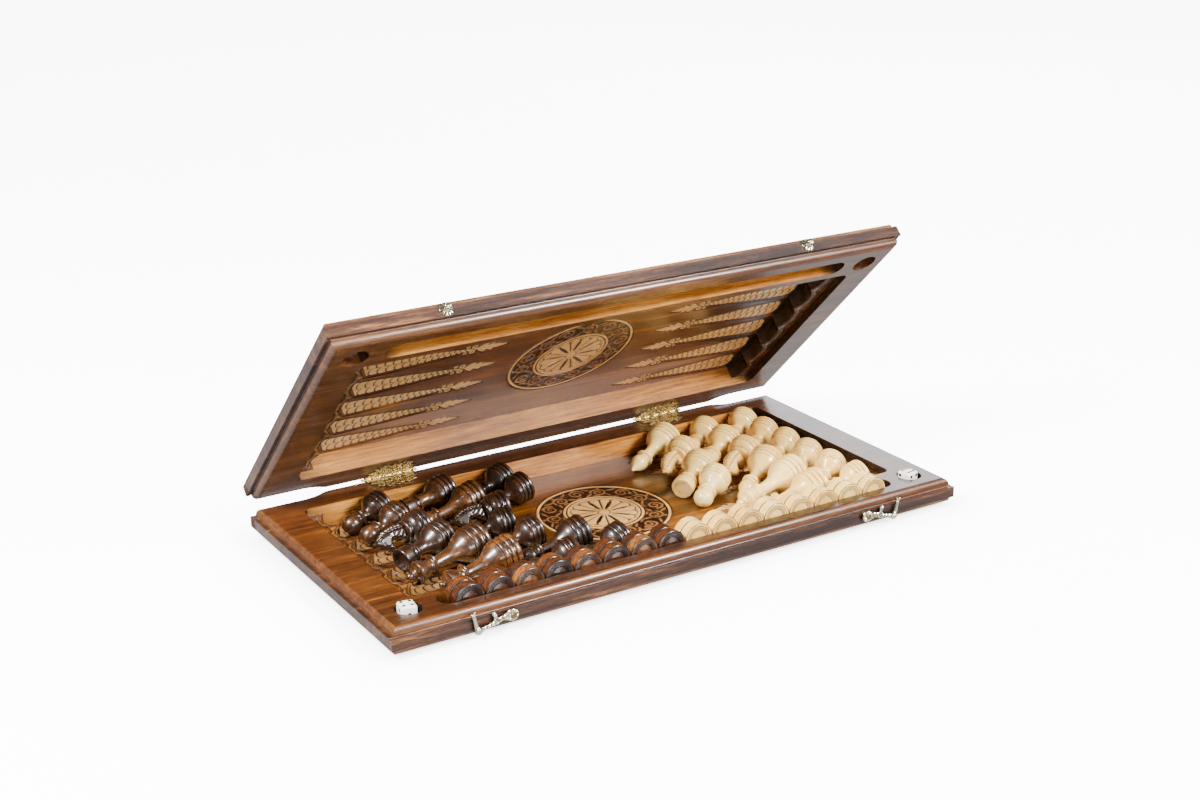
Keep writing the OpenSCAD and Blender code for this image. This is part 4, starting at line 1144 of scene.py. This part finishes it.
def knuckles(bag, which, cut):
    """Rolled barrel knuckles on the pin axis, each with a turned bead at its ends."""
    K = 10.8
    for k in which:
        a, b = -27 + k * K + 0.15, -27 + (k + 1) * K - 0.15
        prof = [(a, 0.86), (a, 1.35), (a + 0.25, 1.6), (a + 0.9, 1.6), (a + 1.1, 1.35), (a + 1.4, 1.35), (a + 1.6, 1.58), (b - 1.6, 1.58), (b - 1.4, 1.35), (b - 1.1, 1.35), (b - 0.9, 1.6), (b - 0.25, 1.6), (b, 1.35), (b, 0.86)]
        n = 24
        t = np.arange(n) * 2 * math.pi / n
        v = np.vstack([np.stack([np.full(n, z), 1.3 + r * np.cos(t), 28.3 + r * np.sin(t)], 1) for z, r in prof])
        f = [(i * n + j, i * n + (j + 1) % n, (i + 1) * n + (j + 1) % n, (i + 1) * n + j) for i in range(len(prof) - 1) for j in range(n)]
        m = len(prof) - 1
        f += [(m * n + j, m * n + (j + 1) % n, (j + 1) % n, j) for j in range(n)]
        bag.add(v, [tuple(reversed(q)) for q in f], height=1.0)


for side, hx in (("left", -156.0), ("right", 156.0)):
    for lid in (0, 1):
        bag = Bag()
        v = LEAF_V.copy()
        v[:, 1] += 0.0
        bag.add(v, LEAF_F, height=np.clip((LEAF_H - 0.26) / 0.6, 0, 1) ** 1.5)
        knuckles(bag, LID_K if lid else BASE_K, None)
        M = (LID if lid else BASE) @ Matrix.Translation((hx, HW - 0.6, 0))
        bag.v = [bag.v[0]] + [q + np.array([0, 0.6, 0]) for q in bag.v[1:]]
        tag = "lid" if lid else "base"
        o = bag.make(f"hinge_{tag}_filigree_{side}", [M_ANTIQUE], M=M, sharp=50)
        node = f"hinge_{tag}_leaf_{side}"
        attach(o, BODY[node])
        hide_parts(node)
    frame["nodes"][f"hinge_pin_{side}"].material_slots[0].material = M_BRIGHT
for n_ in ("hinge_base_screws", "hinge_lid_screws"):
    frame["nodes"][n_].material_slots[0].material = M_BRIGHT

# hook: plan in its own (u, v), pivot at the origin, arm along +u, tab toward +v
ARM = [(3, -4.6), (10, -1.2), (16, -2.6), (24, -1.8), (33, -2.6), (33, 2.4), (25, 2.2), (19, 2.6), (17.4, 5), (17.8, 8.6), (15.6, 9.6), (13.2, 7.6), (13.6, 4), (10, 3.6), (4, 4.8)]
TAB = [(31.6, 0), (36.2, 0), (35.8, 12), (36.8, 18.6), (34.2, 17.4), (31.4, 18.8), (32.2, 12)]


def smin(a, b, k):
    h = np.clip(0.5 + 0.5 * (b - a) / k, 0, 1)
    return b + (a - b) * h - k * h * (1 - h)


def hook_sdf(X, Y):
    d = np.hypot(X, Y) - 6
    d = smin(d, poly_dist(X, Y, ARM), 0.8)
    d = smin(d, np.hypot(X - 16.3, Y - 8.4) - 2.3, 0.5)
    d = smin(d, np.hypot(X - 33, Y) - 3.7, 0.6)
    d = smin(d, poly_dist(X, Y, TAB) - 0.1, 0.6)
    return np.maximum(d, 1.55 - np.hypot(X, Y))


def hook_height(X, Y):
    d = -np.minimum(hook_sdf(X, Y), 0)
    base = 0.35 + 1.25 * np.sqrt(np.clip(1 - (1 - np.clip(d / 1.9, 0, 1)) ** 2, 0, 1))
    r, a = np.hypot(X, Y), np.arctan2(Y, X)
    fan = 0.28 * np.cos(a * 12) * smoothstep(1.9, 2.6, r) * (1 - smoothstep(4.6, 5.2, r))
    ring = 0.3 * np.exp(-(((r - 5.0) / 0.35) ** 2)) + 0.55 * np.exp(-(((r - 2.3) / 0.5) ** 2))
    rosette = (r < 6.2) * (0.5 * (1 - smoothstep(4.2, 6, r)) + fan + ring)
    # leaf veins along the arm
    arm = (X > 5.5) & (X < 30.5) & (Y < 5)
    vein = arm * (0.3 * np.sin(X * 1.5 - np.abs(Y) * 1.6) * smoothstep(0.2, 1.0, d) - 0.3 * np.exp(-((Y - 0.3 * np.sin(X * 0.35)) / 0.35) ** 2))
    rs = np.hypot(X - 16.3, Y - 8.4)
    spur = (rs < 2.5) * (0.5 * np.exp(-((rs / 0.9) ** 2)) - 0.3 * np.exp(-(((rs - 1.5) / 0.35) ** 2)))
    re = np.hypot(X - 33, Y)
    end = (re < 3.7) * (1.0 * np.sqrt(np.clip(1 - (re / 3.7) ** 2, 0, 1)) - 0.35 * np.exp(-(((re - 2.2) / 0.4) ** 2)))
    tab = (Y > 4.5) * (X > 30) * (0.35 * np.exp(-(((X - 34) / 0.8) ** 2)) + 0.25 * np.exp(-(((Y - 16.5) / 0.6) ** 2)) - 0.2 * np.exp(-(((Y - 14.8) / 0.4) ** 2)))
    return np.clip(base + rosette + vein + spur + end + tab, 0.3, 2.9)


HV, HF, HH = relief(hook_sdf, hook_height, (-7, -7, 38.5, 20.5), 0.26, 0.0)
boss_v, boss_f = lathe([(-2.1, 1.55), (-2.1, 3.1), (-1.8, 3.4), (0.1, 3.4), (0.1, 1.55), (-2.1, 1.56)], 32)


def boss(bag):
    n = 32
    t = np.arange(n) * 2 * math.pi / n
    prof = [(-2.1, 1.58), (-2.1, 3.1), (-1.8, 3.4), (0.1, 3.4), (0.1, 1.58)]
    v = np.vstack([np.stack([r * np.cos(t), r * np.sin(t), np.full(n, z)], 1) for z, r in prof])
    m = len(prof)
    f = [(i * n + j, i * n + (j + 1) % n, ((i + 1) % m) * n + (j + 1) % n, ((i + 1) % m) * n + j) for i in range(m) for j in range(n)]
    bag.add(v, f, height=0.6)


for side, sx in (("left", -1), ("right", 1)):
    bag = Bag()
    bag.add(HV, HF, height=np.clip(HH / 2.0, 0, 1))
    boss(bag)
    c, s_ = math.cos(math.radians(12)), math.sin(math.radians(12))
    # columns: u, v and w in the tray's frame
    M = Matrix(((sx * c, sx * s_, 0, sx * 190.0), (0, 0, -1, -152.2), (-s_, c, 0, 14.6), (0, 0, 0, 1)))
    o = bag.make(f"hook_{side}_cast", [M_POLISH], M=M, sharp=60)
    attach(o, BODY[f"hook_{side}"])
    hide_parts(f"hook_{side}")
frame["nodes"]["hook_screws"].material_slots[0].material = M_SCREW

# lid catches: domed rosette on a necked stud
CATCH = [(0, 0), (0, 6.1), (0.35, 6.45), (0.75, 6.3), (1.1, 5.3), (1.45, 4.2), (1.5, 2.1), (2.0, 2.0), (4.9, 2.0), (5.3, 2.7), (5.8, 3.3), (6.5, 3.35), (7.2, 2.7), (7.65, 1.4), (7.8, 0)]
for side, sx in (("left", -1), ("right", 1)):
    bag = Bag()
    v, f = lathe(smooth_line(CATCH, 0.25, 35), 64)
    r, a = np.hypot(v[:, 0], v[:, 1]), np.arctan2(v[:, 1], v[:, 0])
    wave = np.cos(a * 10) * 0.22 * (v[:, 2] > 0.2) * (v[:, 2] < 1.5) * smoothstep(3.0, 4.4, r) * (1 - smoothstep(6.0, 6.4, r))
    knob = np.cos(a * 8) * 0.12 * (v[:, 2] > 5.4) * smoothstep(0.8, 2.2, r)
    v[:, 2] += wave + knob
    v[:, 2] = np.clip(v[:, 2], 0, 7.8)
    bag.add(v, f, height=np.clip(0.55 + wave * 2 + knob * 3, 0, 1))
    M = LID @ Matrix.Translation((sx * 190, -HW, 12)) @ Matrix.Rotation(math.pi / 2, 4, "X")
    o = bag.make(f"lid_catch_{side}_cast", [M_POLISH], M=M, sharp=50)
    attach(o, BODY[f"lid_catch_{side}"])
    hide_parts(f"lid_catch_{side}")

# ---------------------------------------------------------------- camera, floor and light
cam_data = bpy.data.cameras.new("camera")
cam = bpy.data.objects.new("camera", cam_data)
bpy.context.scene.collection.objects.link(cam)
az, el, roll = math.radians(-31.87), math.radians(19.72), math.radians(-0.33)
back = Vector((math.sin(az) * math.cos(el), -math.cos(az) * math.cos(el), math.sin(el)))
fwd = -back
right = fwd.cross(Vector((0, 0, 1))).normalized()
up = right.cross(fwd)
R_ = right * math.cos(roll) + up * math.sin(roll)
U_ = -right * math.sin(roll) + up * math.cos(roll)
rot = Matrix((R_, U_, back)).transposed().to_4x4()
cam.matrix_world = Matrix.Translation(Vector((-0.85075, -1.35468, 0.69415))) @ rot
cam_data.lens, cam_data.sensor_width, cam_data.sensor_fit = 54.836, 36.0, "HORIZONTAL"
cam_data.clip_end = 30
bpy.context.scene.camera = cam

fm = Mat("studio_floor")
n = fm.noise(fm.obj(), 3, 2)
fm.link(fm.mix(n, srgb((250, 250, 250)), srgb((254, 254, 254))), fm.b.inputs["Base Color"])
fm.set(Roughness=0.9, Specular_IOR_Level=0.0)
fm.b.inputs["Emission Color"].default_value = (1, 1, 1, 1)
P = fm.obj()
fx_, fy_, _z = fm.xyz(P)
# the contact shadow fades with the distance from the base tray's foot
ex_ = fm.math("MAXIMUM", fm.math("SUBTRACT", fm.math("ABSOLUTE", fx_), 0.284), 0.0)
ey_ = fm.math("MAXIMUM", fm.math("SUBTRACT", fm.math("ABSOLUTE", fy_), 0.134), 0.0)
far_ = fm.math("SQRT", fm.math("ADD", fm.math("MULTIPLY", ex_, ex_), fm.math("MULTIPLY", ey_, ey_)))
near_ = fm.math("EXPONENT", fm.math("MULTIPLY", far_, -45.0))
fm.link(fm.math("MULTIPLY_ADD", near_, -8.6, 9.0), fm.b.inputs["Emission Strength"])
floor = mesh_object("studio_floor", [(-9000, -9000, 0), (9000, -9000, 0), (9000, 9000, 0), (-9000, 9000, 0)], [(0, 1, 2, 3)], [fm.m], smooth=False)
floor.visible_diffuse = False
floor.visible_glossy = False

world = bpy.data.worlds.new("studio")
bpy.context.scene.world = world
world.use_nodes = True
wt_ = world.node_tree
co_ = wt_.nodes.new("ShaderNodeTexCoord")
se_ = wt_.nodes.new("ShaderNodeSeparateXYZ")
wt_.links.new(co_.outputs["Generated"], se_.inputs[0])
cr_ = wt_.nodes.new("ShaderNodeValToRGB")
add_ = wt_.nodes.new("ShaderNodeMath")
add_.operation = "MULTIPLY_ADD"
add_.inputs[1].default_value, add_.inputs[2].default_value = 0.5, 0.5
wt_.links.new(se_.outputs[2], add_.inputs[0])
wt_.links.new(add_.outputs[0], cr_.inputs[0])
# white table below, dim from the horizon up, a little brighter straight overhead
ramp_ = cr_.color_ramp
while len(ramp_.elements) < 8:
    ramp_.elements.new(0.5)
for e_, (p_, g_) in zip(ramp_.elements, ((0.0, 0.7), (0.3, 0.62), (0.42, 0.3), (0.5, 0.12), (0.61, 0.12), (0.725, 0.12), (0.85, 0.16), (1.0, 0.2))):
    e_.position = p_
    e_.color = (g_, g_, g_, 1)
wt_.links.new(cr_.outputs[0], wt_.nodes["Background"].inputs[0])
wt_.nodes["Background"].inputs[1].default_value = 1.6


def area(name, loc, target, size, power, size_y=None):
    d = bpy.data.lights.new(name, "AREA")
    d.energy = power
    d.shape = "RECTANGLE"
    d.size, d.size_y = size, size_y or size
    o = bpy.data.objects.new(name, d)
    bpy.context.scene.collection.objects.link(o)
    o.location = loc
    o.rotation_euler = (Vector(target) - Vector(loc)).to_track_quat("-Z", "Y").to_euler()
    return o


area("softbox_left", (-1.5, -0.2, 1.5), (0, 0, 0.05), 0.5, 158, 0.7)
area("softbox_right", (1.1, -1.6, 1.5), (0, 0, 0.05), 0.5, 146, 0.7)
area("softbox_back", (2.1, 2.0, 1.35), (0, 0, 0.1), 2.0, 40, 1.2)
area("softbox_front", (-0.4, -2.4, 0.5), (0, 0, 0.15), 1.2, 48, 0.8)
